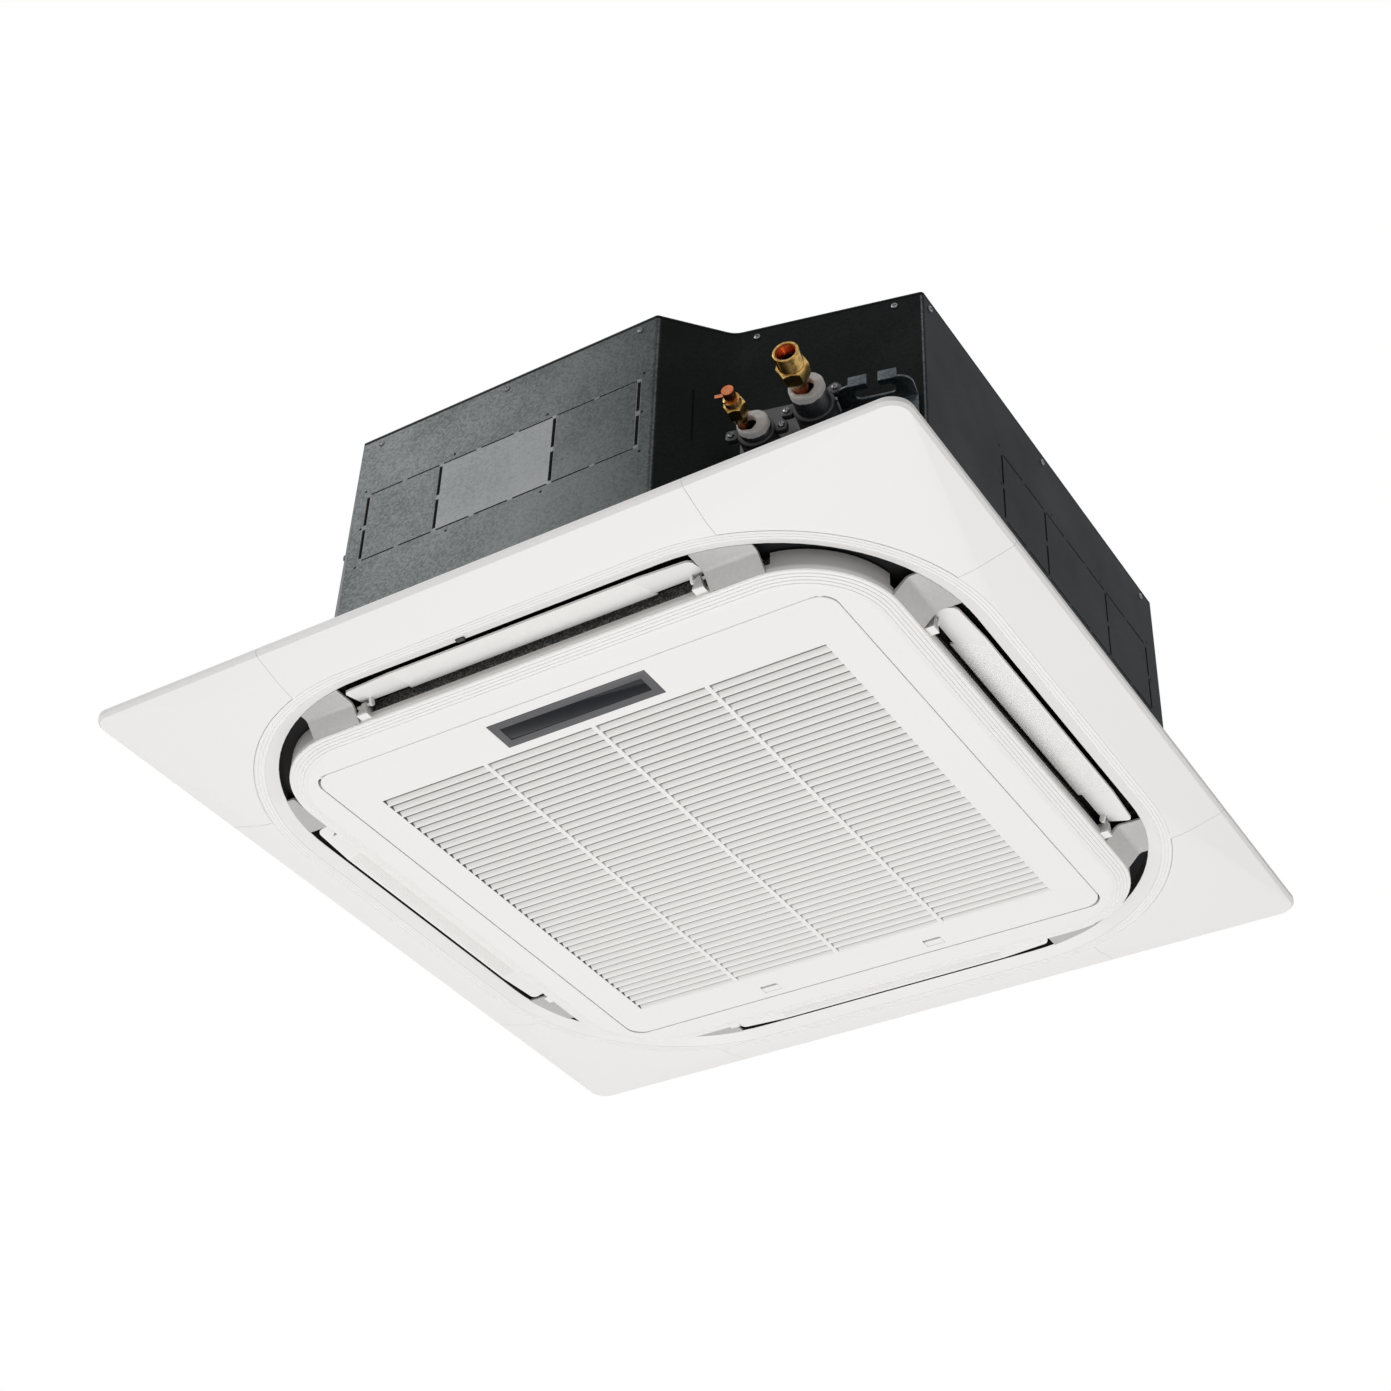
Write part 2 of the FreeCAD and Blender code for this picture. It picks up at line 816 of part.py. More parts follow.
slot_zone = cut(
    "slot_zone",
    ring_column("slot_zone_outside", "slot_half", "-island_drop", "overrun"),
    island_column("slot_zone_inside", "0", "-island_drop - overrun", "overrun * 2"),
)
bridge_top = "bridge_skin - bridge_high"
bridge_arm = beam("bridge_arm", [
    ("island_half - bridge_skin", "-bridge_low - bridge_skin"),
    ("island_half", "-bridge_low - bridge_skin"),
    ("island_half + bridge_run", "-bridge_high", "bridge_bend"),
    ("slot_half + overrun", "-bridge_high"),
    ("slot_half + overrun", bridge_top),
    ("island_half + bridge_run - bridge_skin / 2", bridge_top, "bridge_bend + bridge_skin"),
    ("island_half - bridge_skin", "bridge_skin / 2 - bridge_low"),
], "bridge_start", "bridge_end")
bridge = common("bridge", bridge_arm, slot_zone)
bridge_image = mirrored("bridge_image", bridge)
for quarter, side in enumerate(LOUVRE_SIDES):
    piece(turned("bridge_%s_a" % side, bridge, quarter))
    piece(turned("bridge_%s_b" % side, bridge_image, quarter))

# Louvres: a long flap in each side of the slot, hung on pins in the island's posts

blade_corners = [
    ("louvre_wide_half", "-louvre_inner"),
    ("louvre_wide_half", "louvre_step - louvre_inner"),
    ("louvre_half", "louvre_step - louvre_inner", "louvre_tip_radius"),
    ("louvre_half", "louvre_outer - louvre_taper", "louvre_tip_radius"),
    ("louvre_wide_half", "louvre_outer"),
]
blade_corners += [(minus(c[0]),) + c[1:] for c in reversed(blade_corners)]
blade = column("blade", blade_corners, "louvre_lift", "louvre_lift + louvre_thickness")
lug_end = "post_start - seat_clearance"
lug_span = (lug_end + " - lug_thickness", lug_end)
lug = fuse(
    "lug",
    block("lug_web", lug_span, ("-lug_radius", "lug_radius"), ("0", "louvre_lift + louvre_thickness / 2")),
    rod("lug_eye", "x", "lug_radius", lug_span[0], lug_span[1], ("0", "0")),
)
socket_end = "bridge_start + seat_clearance + louvre_motor_socket"
drive_pin = rod("drive_pin", "x", "pivot_pin_radius", lug_span[0], socket_end, ("0", "0"))
idle_pin_end = minus("post_start + post_base")
idle_pin = rod("idle_pin", "x", "pivot_pin_radius", idle_pin_end, minus(lug_span[0]), ("0", "0"))
louvre = fuse("louvre", blade, lug, mirrored("lug_image", lug), drive_pin, idle_pin)
louvre.Placement = FreeCAD.Placement(FreeCAD.Vector(), FreeCAD.Rotation(FreeCAD.Vector(-1, 0, 0), 1))
bind(louvre, "Placement.Rotation.Angle", "louvre_tilt")
bind(louvre, "Placement.Base.y", "pivot_u")
bind(louvre, "Placement.Base.z", "-pivot_drop")
for quarter, side in enumerate(LOUVRE_SIDES):
    piece(turned("louvre_" + side, louvre, quarter))

# Louvre motors: a small geared motor under the pan, in line with each louvre's driven pin

louvre_motor = cut(
    "louvre_motor",
    block(
        "louvre_motor_case",
        (louvre_motor_start, louvre_motor_end),
        ("pivot_u + louvre_motor_cheek - louvre_motor_width", "pivot_u + louvre_motor_cheek"),
        ("-louvre_motor_drop", "cabinet_base"),
    ),
    rod(
        "louvre_motor_socket_hole",
        "x",
        pivot_hole_radius,
        louvre_motor_start + " - overrun",
        louvre_motor_start + " + louvre_motor_socket + running_clearance",
        pivot_place,
    ),
)
for quarter, side in enumerate(LOUVRE_SIDES):
    piece(turned("louvre_motor_" + side, louvre_motor, quarter))

# Intake grille: one moulding with a field of slanted slats, hinged at the display's side


def plane_of(body, role):
    return [item for item in body.Origin.OriginFeatures if item.Role == role][0]


def body_sketch(body, name, corners, role, level, axis_of_level="z"):
    sketch = body.newObject("Sketcher::SketchObject", name)
    sketch.AttachmentSupport = [(plane_of(body, role), "")]
    sketch.MapMode = "FlatFace"
    for ring in corners:
        draw(sketch, ring)
    bind(sketch, "AttachmentOffset.Base." + axis_of_level, level)
    return sketch


def pad(body, name, sketch, length, midplane=False):
    feature = body.newObject("PartDesign::Pad", name)
    feature.Profile = sketch
    feature.Midplane = midplane
    bind(feature, "Length", length)
    return feature


def pocket(body, name, sketch, length, up=True):
    feature = body.newObject("PartDesign::Pocket", name)
    feature.Profile = sketch
    feature.Reversed = up
    bind(feature, "Length", length)
    return feature


face_level = "-island_drop"
display_span = ("-display_half", "display_half")
display_depth_span = ("-display_middle - display_height / 2", "display_height / 2 - display_middle")
latch_spans = [
    (minus("latch_offset") + " - latch_width / 2", minus("latch_offset") + " + latch_width / 2"),
    ("latch_offset - latch_width / 2", "latch_offset + latch_width / 2"),
]
latch_slot_y = ("latch_middle - latch_length / 2 - latch_travel", "latch_middle + latch_length / 2")

moulding = doc.addObject("PartDesign::Body", "grille_moulding")
plate_sketch = body_sketch(
    moulding, "grille_plate_outline", [square("grille_half", "grille_corner")], "XY_Plane", face_level
)
plate_pad = pad(moulding, "grille_plate_pad", plate_sketch, "grille_plate")
doc.recompute()
lowest = plate_pad.Shape.BoundBox.ZMin
face_edges = [
    "Edge%d" % (k + 1)
    for k, edge in enumerate(plate_pad.Shape.Edges)
    if edge.BoundBox.ZMax < lowest + number("grille_edge_round")
]
eased_edge = moulding.newObject("PartDesign::Fillet", "grille_eased_edge")
eased_edge.Base = (plate_pad, face_edges)
bind(eased_edge, "Radius", "grille_edge_round")
field = rectangle(("-field_half", "field_half"), ("-field_front", "field_back"))
field_sketch = body_sketch(moulding, "field_outline", [field], "XY_Plane", face_level)
pocket(moulding, "field_pocket", field_sketch, "grille_plate + overrun")
display_sketch = body_sketch(
    moulding, "display_recess_outline", [rectangle(display_span, display_depth_span)], "XY_Plane", face_level
)
pocket(moulding, "display_recess", display_sketch, "display_depth")
latch_sketch = body_sketch(
    moulding, "latch_slot_outlines", [rectangle(x, latch_slot_y) for x in latch_spans], "XY_Plane", face_level
)
pocket(moulding, "latch_slots", latch_sketch, "grille_plate + overrun")
slat_section = [
    ("-field_front + slat_pitch", "-island_drop"),
    ("-field_front + slat_pitch", "slat_thickness - island_drop"),
    ("-field_front + slat_thickness", "slat_height - island_drop"),
    ("-field_front", "slat_height - island_drop"),
    ("-field_front", "slat_height - slat_thickness - island_drop"),
    ("-field_front + slat_pitch - slat_thickness", "-island_drop"),
]
slat_sketch = body_sketch(moulding, "slat_section", [slat_section], "YZ_Plane", "0")
slat_pad = pad(moulding, "slat_pad", slat_sketch, "(field_half + overrun) * 2", True)
slats = moulding.newObject("PartDesign::LinearPattern", "slats")
slats.Originals = [slat_pad]
slats.Direction = (plane_of(moulding, "Y_Axis"), [""])
slats.Occurrences = SLAT_COUNT
bind(slats, "Length", "slat_pitch * %d" % (SLAT_COUNT - 1))
moulding.Tip = slats
divider_rings = []
for k in range(DIVIDER_COUNT):
    middle = "field_half * %d / %d" % (2 * k - DIVIDER_COUNT + 1, DIVIDER_COUNT + 1)
    span = (middle + " - divider_width / 2", middle + " + divider_width / 2")
    divider_rings.append(rectangle(span, ("-field_front - overrun", "field_back + overrun")))
divider_sketch = body_sketch(moulding, "divider_outlines", divider_rings, "XY_Plane", face_level)
moulding.Tip = pad(moulding, "dividers", divider_sketch, "slat_height")
hinge_pin = rod(
    "hinge_pin", "x", "hinge_pin_radius", "hinge_pin_start", "hinge_pin_end", ("hinge_y", "hinge_z")
)
piece(fuse("intake_grille", moulding, hinge_pin, mirrored("hinge_pin_image", hinge_pin)))

# Grille latches: a sliding thumb piece in each slot at the far edge, with a tongue above the plate

for side, x in zip(("left", "right"), latch_spans):
    width = (x[0] + " + seat_clearance", x[1] + " - seat_clearance")
    thumb_y = ("latch_middle - latch_length / 2", "latch_middle + latch_length / 2 - seat_clearance")
    thumb = block("latch_thumb_" + side, width, thumb_y, (face_level, "grille_plate - island_drop"))
    tongue = block(
        "latch_tongue_" + side,
        (x[0] + " - latch_tongue", x[1] + " + latch_tongue"),
        (thumb_y[0], "grille_half + grille_gap / 2"),
        ("grille_plate - island_drop", "grille_plate + latch_tongue - island_drop"),
    )
    piece(fuse("grille_latch_" + side, thumb, tongue))

# Display: a grey bezel set into the grille, round a dark window

recess_floor = "display_depth - island_drop"
bezel_x = ("seat_clearance - display_half", "display_half - seat_clearance")
bezel_y = (display_depth_span[0] + " + seat_clearance", display_depth_span[1] + " - seat_clearance")
window_x = ("bezel_border - display_half", "display_half - bezel_border")
window_y = (display_depth_span[0] + " + bezel_border", display_depth_span[1] + " - bezel_border")
piece(cut(
    "display_bezel",
    block("bezel_plate", bezel_x, bezel_y, ("-island_drop - bezel_proud", recess_floor)),
    block("bezel_window", window_x, window_y, ("-island_drop - overrun", "overrun")),
))
piece(block(
    "display_window",
    (window_x[0] + " + seat_clearance", window_x[1] + " - seat_clearance"),
    (window_y[0] + " + seat_clearance", window_y[1] + " - seat_clearance"),
    ("window_sink - bezel_proud - island_drop", recess_floor),
))

# Air filter: a framed net that lies on the slats

filter_frame = doc.addObject("PartDesign::Body", "air_filter")
filter_span = ("-filter_half", "filter_half")
filter_sketch = body_sketch(
    filter_frame, "filter_outline", [rectangle(filter_span, filter_span)], "XY_Plane", "filter_low"
)
pad(filter_frame, "filter_pad", filter_sketch, "filter_thickness")
cell_x = "(filter_half * 2 - filter_border * 2 + filter_bar) / %d" % FILTER_COLUMNS
cell_y = "(filter_half * 2 - filter_border * 2 + filter_bar) / %d" % FILTER_ROWS
cells = []
for i in range(FILTER_COLUMNS):
    for j in range(FILTER_ROWS):
        left = "filter_border - filter_half + %d * %s" % (i, cell_x)
        low = "filter_border - filter_half + %d * %s" % (j, cell_y)
        cells.append(rectangle((left, left + " + %s - filter_bar" % cell_x),
                               (low, low + " + %s - filter_bar" % cell_y)))
cells_sketch = body_sketch(filter_frame, "filter_cells", cells, "XY_Plane", "filter_low + filter_net")
filter_frame.Tip = pocket(filter_frame, "filter_cell_pocket", cells_sketch, "filter_thickness")
piece(filter_frame)

# Cabinet shell: one bent wrap of sheet steel with a notch for the pipes at the front right

cabinet_corners = [
    ("-front_chamfer", "-cabinet_half", "cabinet_bend"),
    ("notch_start", "-cabinet_half", "cabinet_bend"),
    ("notch_x", "-notch_y", "notch_bend"),
    ("cabinet_half", "-notch_end", "cabinet_bend"),
    ("cabinet_half", "back_chamfer", "cabinet_bend"),
    ("back_chamfer", "cabinet_half", "cabinet_bend"),
    ("-back_chamfer", "cabinet_half", "cabinet_bend"),
    ("-cabinet_half", "back_chamfer", "cabinet_bend"),
    ("-cabinet_half", "-front_chamfer", "cabinet_bend"),
]
cabinet_outline = outline("cabinet_outline", cabinet_corners)


def cabinet_column(name, inset, low, high):
    """The cabinet's plan, drawn in by an inset, between two levels."""
    plan = cabinet_outline
    if inset != "0":
        plan = doc.addObject("Part::Offset2D", name + "_plan")
        plan.Source = cabinet_outline
        plan.Join = "Intersection"
        bind(plan, "Value", minus(inset))
    solid = prism(name + "_tall", plan, plus(high, minus(low)))
    bind(solid, "Placement.Base.z", low)
    return solid


def knockout_cutters(name, start, width):
    """Slots that leave a row of plates held by small tabs, and the pin holes round them."""
    edges = ["%s + %g * %s" % (start, share, width) for share in KNOCKOUT_EDGE_SHARES]
    depth = ("-overrun", "cabinet_wall + overrun")
    middle = "(knockout_low + knockout_high) / 2"
    upright_spans = {
        "low": ("knockout_low + knockout_tab", middle + " - knockout_tab"),
        "high": (middle + " + knockout_tab", "knockout_high - knockout_tab"),
    }
    cutters = []
    for k, edge in enumerate(edges):
        x = (edge + " - knockout_gap / 2", edge + " + knockout_gap / 2")
        for half, z in upright_spans.items():
            cutters.append(block("%s_%s_%d" % (name, half, k), x, depth, z))
    for k, (left, right) in enumerate(zip(edges, edges[1:])):
        cut_length = "(%s - (%s)) / %d" % (right, left, KNOCKOUT_CUTS[k])
        for level in ("knockout_low", "knockout_high"):
            z = (level + " - knockout_slot / 2", level + " + knockout_slot / 2")
            for part in range(KNOCKOUT_CUTS[k]):
                x = (
                    "%s + %d * %s + knockout_tab" % (left, part, cut_length),
                    "%s + %d * %s - knockout_tab" % (left, part + 1, cut_length),
                )
                cutters.append(block("%s_%s_%d_%d" % (name, level, k, part), x, depth, z))
    pin_pitch = "(%s + pin_hole_side * 2) / %d" % (width, PIN_COLUMNS - 1)
    pin_levels = ["knockout_low - pin_hole_offset", "knockout_high + pin_hole_offset"]
    for k in range(PIN_COLUMNS):
        along = "%s - pin_hole_side + %d * %s" % (start, k, pin_pitch)
        at_end = k in (0, PIN_COLUMNS - 1)
        for row, level in enumerate(pin_levels + [middle] * at_end):
            pin_name = "%s_pin_%d_%d" % (name, k, row)
            cutters.append(out_rod(pin_name, "pin_hole_radius", depth[0], "overrun", along, level))
    return cutters


SCREW_ROWS = {
    "front": ("front_screw_start", "front_screw_pitch", 3),
    "right": ("side_screw_start", "side_screw_pitch", 3),
    "back": ("-front_screw_pitch", "front_screw_pitch", 3),
    "left": ("-side_screw_pitch / 2", "side_screw_pitch / 2", 3),
    "notch": ("notch_screw_start", "notch_screw_pitch", 2),
    "back_right": ("0", "0", 1),
    "back_left": ("0", "0", 1),
    "front_left": ("0", "0", 1),
}
screw_level = "cabinet_height - screw_drop"
screw_groups = []
screw_holes = []
for wall, (start, pitch, count) in SCREW_ROWS.items():
    screws = []
    holes = []
    for k in range(count):
        tag = "%s_%d" % (wall, k)
        along = "%s + %d * (%s)" % (start, k, pitch)
        head = out_rod("screw_head_" + tag, "screw_head_radius", "0", "screw_head", along, screw_level)
        shank = out_rod("screw_shank_" + tag, "screw_radius", "-screw_length", "0", along, screw_level)
        screws.append(fuse("screw_" + tag, head, shank))
        holes.append(out_rod(
            "screw_hole_" + tag, "screw_radius + running_clearance", "-screw_length - overrun", "overrun",
            along, screw_level,
        ))
    screw_groups.append(on_wall("screws_" + wall, wall, *screws))
    screw_holes.append(on_wall("screw_holes_" + wall, wall, *holes))

pipe_holes = on_wall(
    "pipe_holes", "notch",
    *[
        out_rod(
            pipe + "_hole", pipe + "_radius + seat_clearance", "-lining - overrun", "overrun",
            pipe + "_along", pipe + "_level",
        )
        for pipe in PIPES
    ]
)
drain_neck = "drain_radius - drain_step"
drain_place = ("drain_along", "drain_level")
drain_hole = on_wall("drain_hole", "drain", out_rod(
    "drain_hole_rod", drain_neck + " + seat_clearance", "-lining - overrun", "overrun", *drain_place
))
notch_slit = on_wall("notch_slit", "notch_side", block(
    "notch_slit_block",
    ("slit_wall / 2 - knockout_slot / 2", "slit_wall / 2 + knockout_slot / 2"),
    ("-overrun", "cabinet_wall + overrun"),
    ("notch_slit_low", "notch_slit_high"),
))
front_cutters = knockout_cutters("front_slot", "front_knockout_start", "front_knockout_width")
right_cutters = knockout_cutters("right_slot", "right_knockout_start", "right_knockout_width")
front_knockouts = on_wall("front_knockouts", "front", *front_cutters)
right_knockouts = on_wall("right_knockouts", "right", *right_cutters)
piece(cut(
    "cabinet_shell",
    cabinet_column("shell_outside", "0", "cabinet_base", "top_under"),
    cabinet_column("shell_inside", "cabinet_wall", "cabinet_base - overrun", "top_under + overrun"),
    pipe_holes, drain_hole, notch_slit, front_knockouts, right_knockouts, *screw_holes
))
piece(group("cabinet_screws", *screw_groups))

# Cabinet top: a flat steel lid with a flange turned down inside the shell

flange_low = "top_under - top_flange"
top_flange = cut(
    "top_flange_ring",
    cabinet_column("flange_outside", "cabinet_wall", flange_low, "top_under"),
    cabinet_column("flange_inside", "cabinet_wall * 2", flange_low + " - overrun", "top_under + overrun"),
)
top_lid = cabinet_column("top_lid", "0", "top_under", "cabinet_height")
piece(cut("cabinet_top", fuse("top_solid", top_lid, top_flange), *screw_holes))

# Foam liner inside the shell, standing on the drain pan

piece(cut(
    "cabinet_liner",
    cabinet_column("liner_outside", "cabinet_wall", "pan_top", flange_low),
    cabinet_column("liner_inside", "lining", "pan_top - overrun", "top_under"),
    pipe_holes, drain_hole
))

# Drain pan: a foam slab with the four air outlets, a gutter under the coil and a round inlet

outlet = block(
    "outlet",
    ("-outlet_half", "outlet_half"),
    ("outlet_inner", "outlet_outer"),
    ("cabinet_base - overrun", "pan_top + overrun"),
)
gutter = cut(
    "gutter",
    column(
        "gutter_outside",
        square("coil_half + gutter_margin", "coil_corner + gutter_margin"),
        "gutter_floor",
        "pan_top + overrun",
    ),
    column(
        "gutter_inside",
        square("coil_inner - gutter_margin", "coil_inner_corner - gutter_margin"),
        "gutter_floor - overrun",
        "pan_top + overrun * 2",
    ),
)
pan_hole = rod("pan_inlet", "z", "pan_hole", "cabinet_base - overrun", "pan_top + overrun", ("0", "0"))
piece(cut(
    "drain_pan",
    cabinet_column("pan_slab", "cabinet_wall", "cabinet_base", "pan_top"),
    all_round("outlets", outlet), gutter, pan_hole
))

# Hanger brackets: a bent steel plate at each corner, with a slot that a ceiling rod slips into


def hanger_bracket(name, wall, along):
    half = "hanger_half"
    slot_in = "hanger_slot_width / 2 - hanger_reach"
    slot_out = "-hanger_slot_width / 2 - hanger_reach"
    edge = slot_out + " - hanger_strip"
    slot_round = "hanger_slot_width / 2 - seat_clearance"
    side = [
        ("hanger_mouth / 2", edge),
        ("hanger_mouth / 2", slot_out),
        ("hanger_slot_half", slot_out, slot_round),
        ("hanger_slot_half", slot_in, slot_round),
    ]
    corners = [(minus(half), "0"), (minus(half), edge, "hanger_round")]
    corners += [(minus(c[0]),) + c[1:] for c in side]
    corners += list(reversed(side))
    corners += [(half, edge, "hanger_round"), (half, "0")]
    plate = column(name + "_plate", corners, "hanger_level - hanger_plate", "hanger_level")
    flange = block(
        name + "_flange",
        (minus(half), half),
        ("-hanger_plate", "0"),
        ("hanger_level - hanger_flange", "hanger_level"),
    )
    lip_x = ("hanger_mouth / 2", "hanger_half - hanger_round")
    lip_y = (edge, edge + " + hanger_plate")
    lip = block(name + "_lip", lip_x, lip_y, ("hanger_level - hanger_plate", "hanger_level + hanger_lip"))
    whole = fuse(name + "_solid", plate, flange, lip, mirrored(name + "_lip_image", lip))
    bind(whole, "Placement.Base.x", along)
    return on_wall(name, wall, whole)


piece(hanger_bracket("hanger_front_right", "notch", "hanger_along"))
piece(hanger_bracket("hanger_front_left", "front_left", "-hanger_left_shift"))
piece(hanger_bracket("hanger_back_right", "back_right", "0"))
piece(hanger_bracket("hanger_back_left", "back_left", "0"))

# Pipe plate: a black plate on the notch's long wall with a collar round each pipe's sleeve


def pipe_place(pipe):
    return pipe + "_along", pipe + "_level"


def sleeve_place(pipe):
    """A sleeve lies loosely on its pipe, off its middle."""
    return "%s_along + %s_sleeve_shift" % (pipe, pipe), pipe + "_level"


plate_block = block(
    "pipe_plate_block",
    ("pipe_plate_start", "pipe_plate_end"),
    ("-pipe_plate", "0"),
    ("pipe_plate_low", "pipe_plate_high"),
)
collars = []
bores = []
for pipe in PIPES:
    seat = pipe + "_sleeve_radius + running_clearance"
    around = sleeve_place(pipe)
    collars.append(out_rod(pipe + "_collar", seat + " + collar_wall", "0", "collar_length", *around))
    bores.append(out_rod(pipe + "_collar_bore", seat, "pipe_plate", "collar_length + overrun", *around))
    hole = pipe + "_radius + seat_clearance"
    bores.append(out_rod(pipe + "_plate_hole", hole, "-overrun", "collar_length", *pipe_place(pipe)))
plate_screw_places = [
    "pipe_plate_start + plate_screw_inset",
    "(%s + %s) / 2" % (sleeve_place("gas")[0], sleeve_place("liquid")[0]),
    "pipe_plate_end - plate_screw_inset",
]
plate_screw_levels = ["pipe_plate_low + plate_screw_inset", "pipe_plate_high - plate_screw_inset"]
plate_screw_spots = [(along, level) for along in plate_screw_places for level in plate_screw_levels]
piece(on_wall(
    "pipe_plate", "notch", cut("pipe_plate_solid", fuse("pipe_plate_blank", plate_block, *collars), *bores)
))
plate_screw_top = "pipe_plate + plate_screw_head"
plate_screws = [
    out_rod("plate_screw_%d" % k, "plate_screw_radius", "pipe_plate", plate_screw_top, *spot)
    for k, spot in enumerate(plate_screw_spots)
]
piece(on_wall("pipe_plate_screws", "notch", *plate_screws))

# Refrigerant pipes: copper tubes through the notch wall, each with a brass flare nut and a foam sleeve

for pipe in PIPES:
    place = pipe_place(pipe)
    radius = pipe + "_radius"
    tube = cut(
        pipe + "_tube",
        out_rod(pipe + "_tube_outside", radius, "-pipe_inside", pipe + "_reach", *place),
        out_rod(
            pipe + "_tube_bore", "%s - %s_wall" % (radius, pipe), "-pipe_inside - overrun",
            pipe + "_reach + overrun", *place
        ),
    )
    piece(on_wall(pipe + "_pipe", "notch", tube))
    length = pipe + "_sleeve_length"
    around = sleeve_place(pipe)
    sleeve = cut(
        pipe + "_sleeve",
        out_rod(pipe + "_sleeve_outside", pipe + "_sleeve_radius", "pipe_plate", length, *around),
        out_rod(pipe + "_sleeve_bore", radius + " + running_clearance", "0", length + " + overrun", *place),
    )
    piece(on_wall(pipe + "_pipe_sleeve", "notch", sleeve))


def flare_nut(pipe, bores):
    """A tapered collar, a hexagon eased at both ends and a round neck, in one forging."""
    place = pipe_place(pipe)
    flats = pipe + "_nut_flats"
    hex_length = pipe + "_nut_hex"
    start = pipe + "_nut_start"
    hex_start = "%s + %s_nut_collar" % (start, pipe)
    hex_end = plus(hex_start, hex_length)
    end = "%s + %s_nut_length" % (start, pipe)
    rim = flats + " / 2"
    far = "%s / 2 + %s * 2" % (flats, hex_length)
    hex_sketch = outline(pipe + "_nut_outline", hex_corners(flats, *place), "front", minus(hex_start))
    hexagon = prism(pipe + "_nut_hexagon", hex_sketch, hex_length)
    outer_ease = cone(
        pipe + "_nut_outer_ease", "y", rim, far, minus(hex_end), plus(minus(hex_start), hex_length), place
    )
    inner_ease = cone(
        pipe + "_nut_inner_ease", "y", far, rim, minus(plus(hex_end, hex_length)), minus(hex_start), place
    )
    eased_once = common(pipe + "_nut_eased_once", hexagon, outer_ease)
    eased = common(pipe + "_nut_eased", eased_once, inner_ease)
    neck = out_rod(pipe + "_nut_neck_rod", pipe + "_nut_neck", hex_start, end, *place)
    collar = cone(
        pipe + "_nut_collar_cone", "y", rim, pipe + "_nut_foot", minus(hex_start), minus(start), place
    )
    return cut(pipe + "_nut", fuse(pipe + "_nut_solid", eased, neck, collar), *bores)


gas_nut_end = "gas_nut_start + gas_nut_length"
gas_mouth = out_rod(
    "gas_nut_mouth_bore", "gas_nut_mouth", gas_nut_end + " - gas_nut_mouth_depth",
    gas_nut_end + " + overrun", *pipe_place("gas")
)
gas_nut_bore = out_rod(
    "gas_nut_bore", "gas_radius + running_clearance", "0", gas_nut_end, *pipe_place("gas")
)
piece(on_wall("gas_flare_nut", "notch", flare_nut("gas", [gas_mouth, gas_nut_bore])))
liquid_nut_bore = out_rod(
    "liquid_nut_bore", "liquid_radius + running_clearance", "0",
    "liquid_nut_start + liquid_nut_length + overrun", *pipe_place("liquid")
)
piece(on_wall("liquid_flare_nut", "notch", flare_nut("liquid", [liquid_nut_bore])))

# Liquid pipe cap: a pinched copper cap with a nib, brazed on the end of the liquid pipe

cap_start = "liquid_nut_start + liquid_nut_length"
cap_end = cap_start + " + liquid_cap_length"
cap_body = out_rod("cap_body", "liquid_cap_radius", cap_start, cap_end, *pipe_place("liquid"))
cap_nib = rod(
    "cap_nib", "x", "liquid_nib_radius",
    "liquid_along - liquid_cap_radius - liquid_nib_length", "liquid_along",
    (minus(cap_end) + " + liquid_cap_radius", "liquid_level"),
)
piece(on_wall("liquid_pipe_cap", "notch", fuse("liquid_cap", cap_body, cap_nib)))

# Heat exchanger: a finned coil round the fan, standing in the pan's gutter

coil_cut = ("gutter_floor - overrun", "coil_top + overrun")
coil_ring = cut(
    "coil_ring",
    column("coil_outside", square("coil_half", "coil_corner"), "gutter_floor", "coil_top"),
    column("coil_inside", square("coil_inner", "coil_inner_corner"), *coil_cut),
)
gap_from = "coil_half - coil_gap"
piece(cut("heat_exchanger", coil_ring, block(
    "coil_gap_block",
    (gap_from, "coil_half + overrun"),
    ("-coil_half - overrun", minus(gap_from)),
    coil_cut,
)))

# Header tubes: an upright tube on each pipe's inner end, with feeders into the coil's two ends


def inner_end(pipe):
    """Where a header stands: just past the inner end of its pipe."""
    inward = "(pipe_inside + header_radius)"
    x = "notch_x + %s_along * cos(wall_angle) - %s * sin(wall_angle)" % (pipe, inward)
    y = "-notch_y + %s_along * sin(wall_angle) + %s * cos(wall_angle)" % (pipe, inward)
    return x, y


headers = []
for pipe in PIPES:
    x, y = inner_end(pipe)
    tubes = [rod(pipe + "_header", "z", "header_radius", "header_low", "header_high", (x, y))]
    for k in range(FEEDERS):
        level = "header_low + header_radius * 2 + %d * feeder_pitch" % k
        name = "%s_feeder_%d" % (pipe, k)
        if pipe == "gas":
            tubes.append(rod(name, "y", "feeder_radius", y, minus(gap_from), (x, level)))
        else:
            tubes.append(rod(name, "x", "feeder_radius", gap_from, x, (y, level)))
    headers.append(fuse(pipe + "_header_set", *tubes))
piece(group("coil_headers", *headers))

# Drain pump and outlet: the pump stands on the pan and pushes water out through a spigot

pump_back = "lining + drain_pump_depth"
piece(on_wall("drain_pump", "drain", block(
    "drain_pump_case",
    ("drain_along - drain_pump_half", "drain_along + drain_pump_half"),
    ("lining", pump_back),
    ("pan_top", "pan_top + drain_pump_height"),
)))
spigot_start = "-lining - overrun"
spigot_end = "drain_reach + overrun"
piece(on_wall("drain_outlet", "drain", cut(
    "drain_spigot",
    fuse(
        "drain_spigot_outside",
        out_rod("drain_spigot_end", "drain_radius", "0", "drain_reach", *drain_place),
        out_rod("drain_spigot_neck", drain_neck, "-lining", "0", *drain_place),
    ),
    out_rod("drain_spigot_bore", "drain_radius - drain_wall", spigot_start, spigot_end, *drain_place),
)))

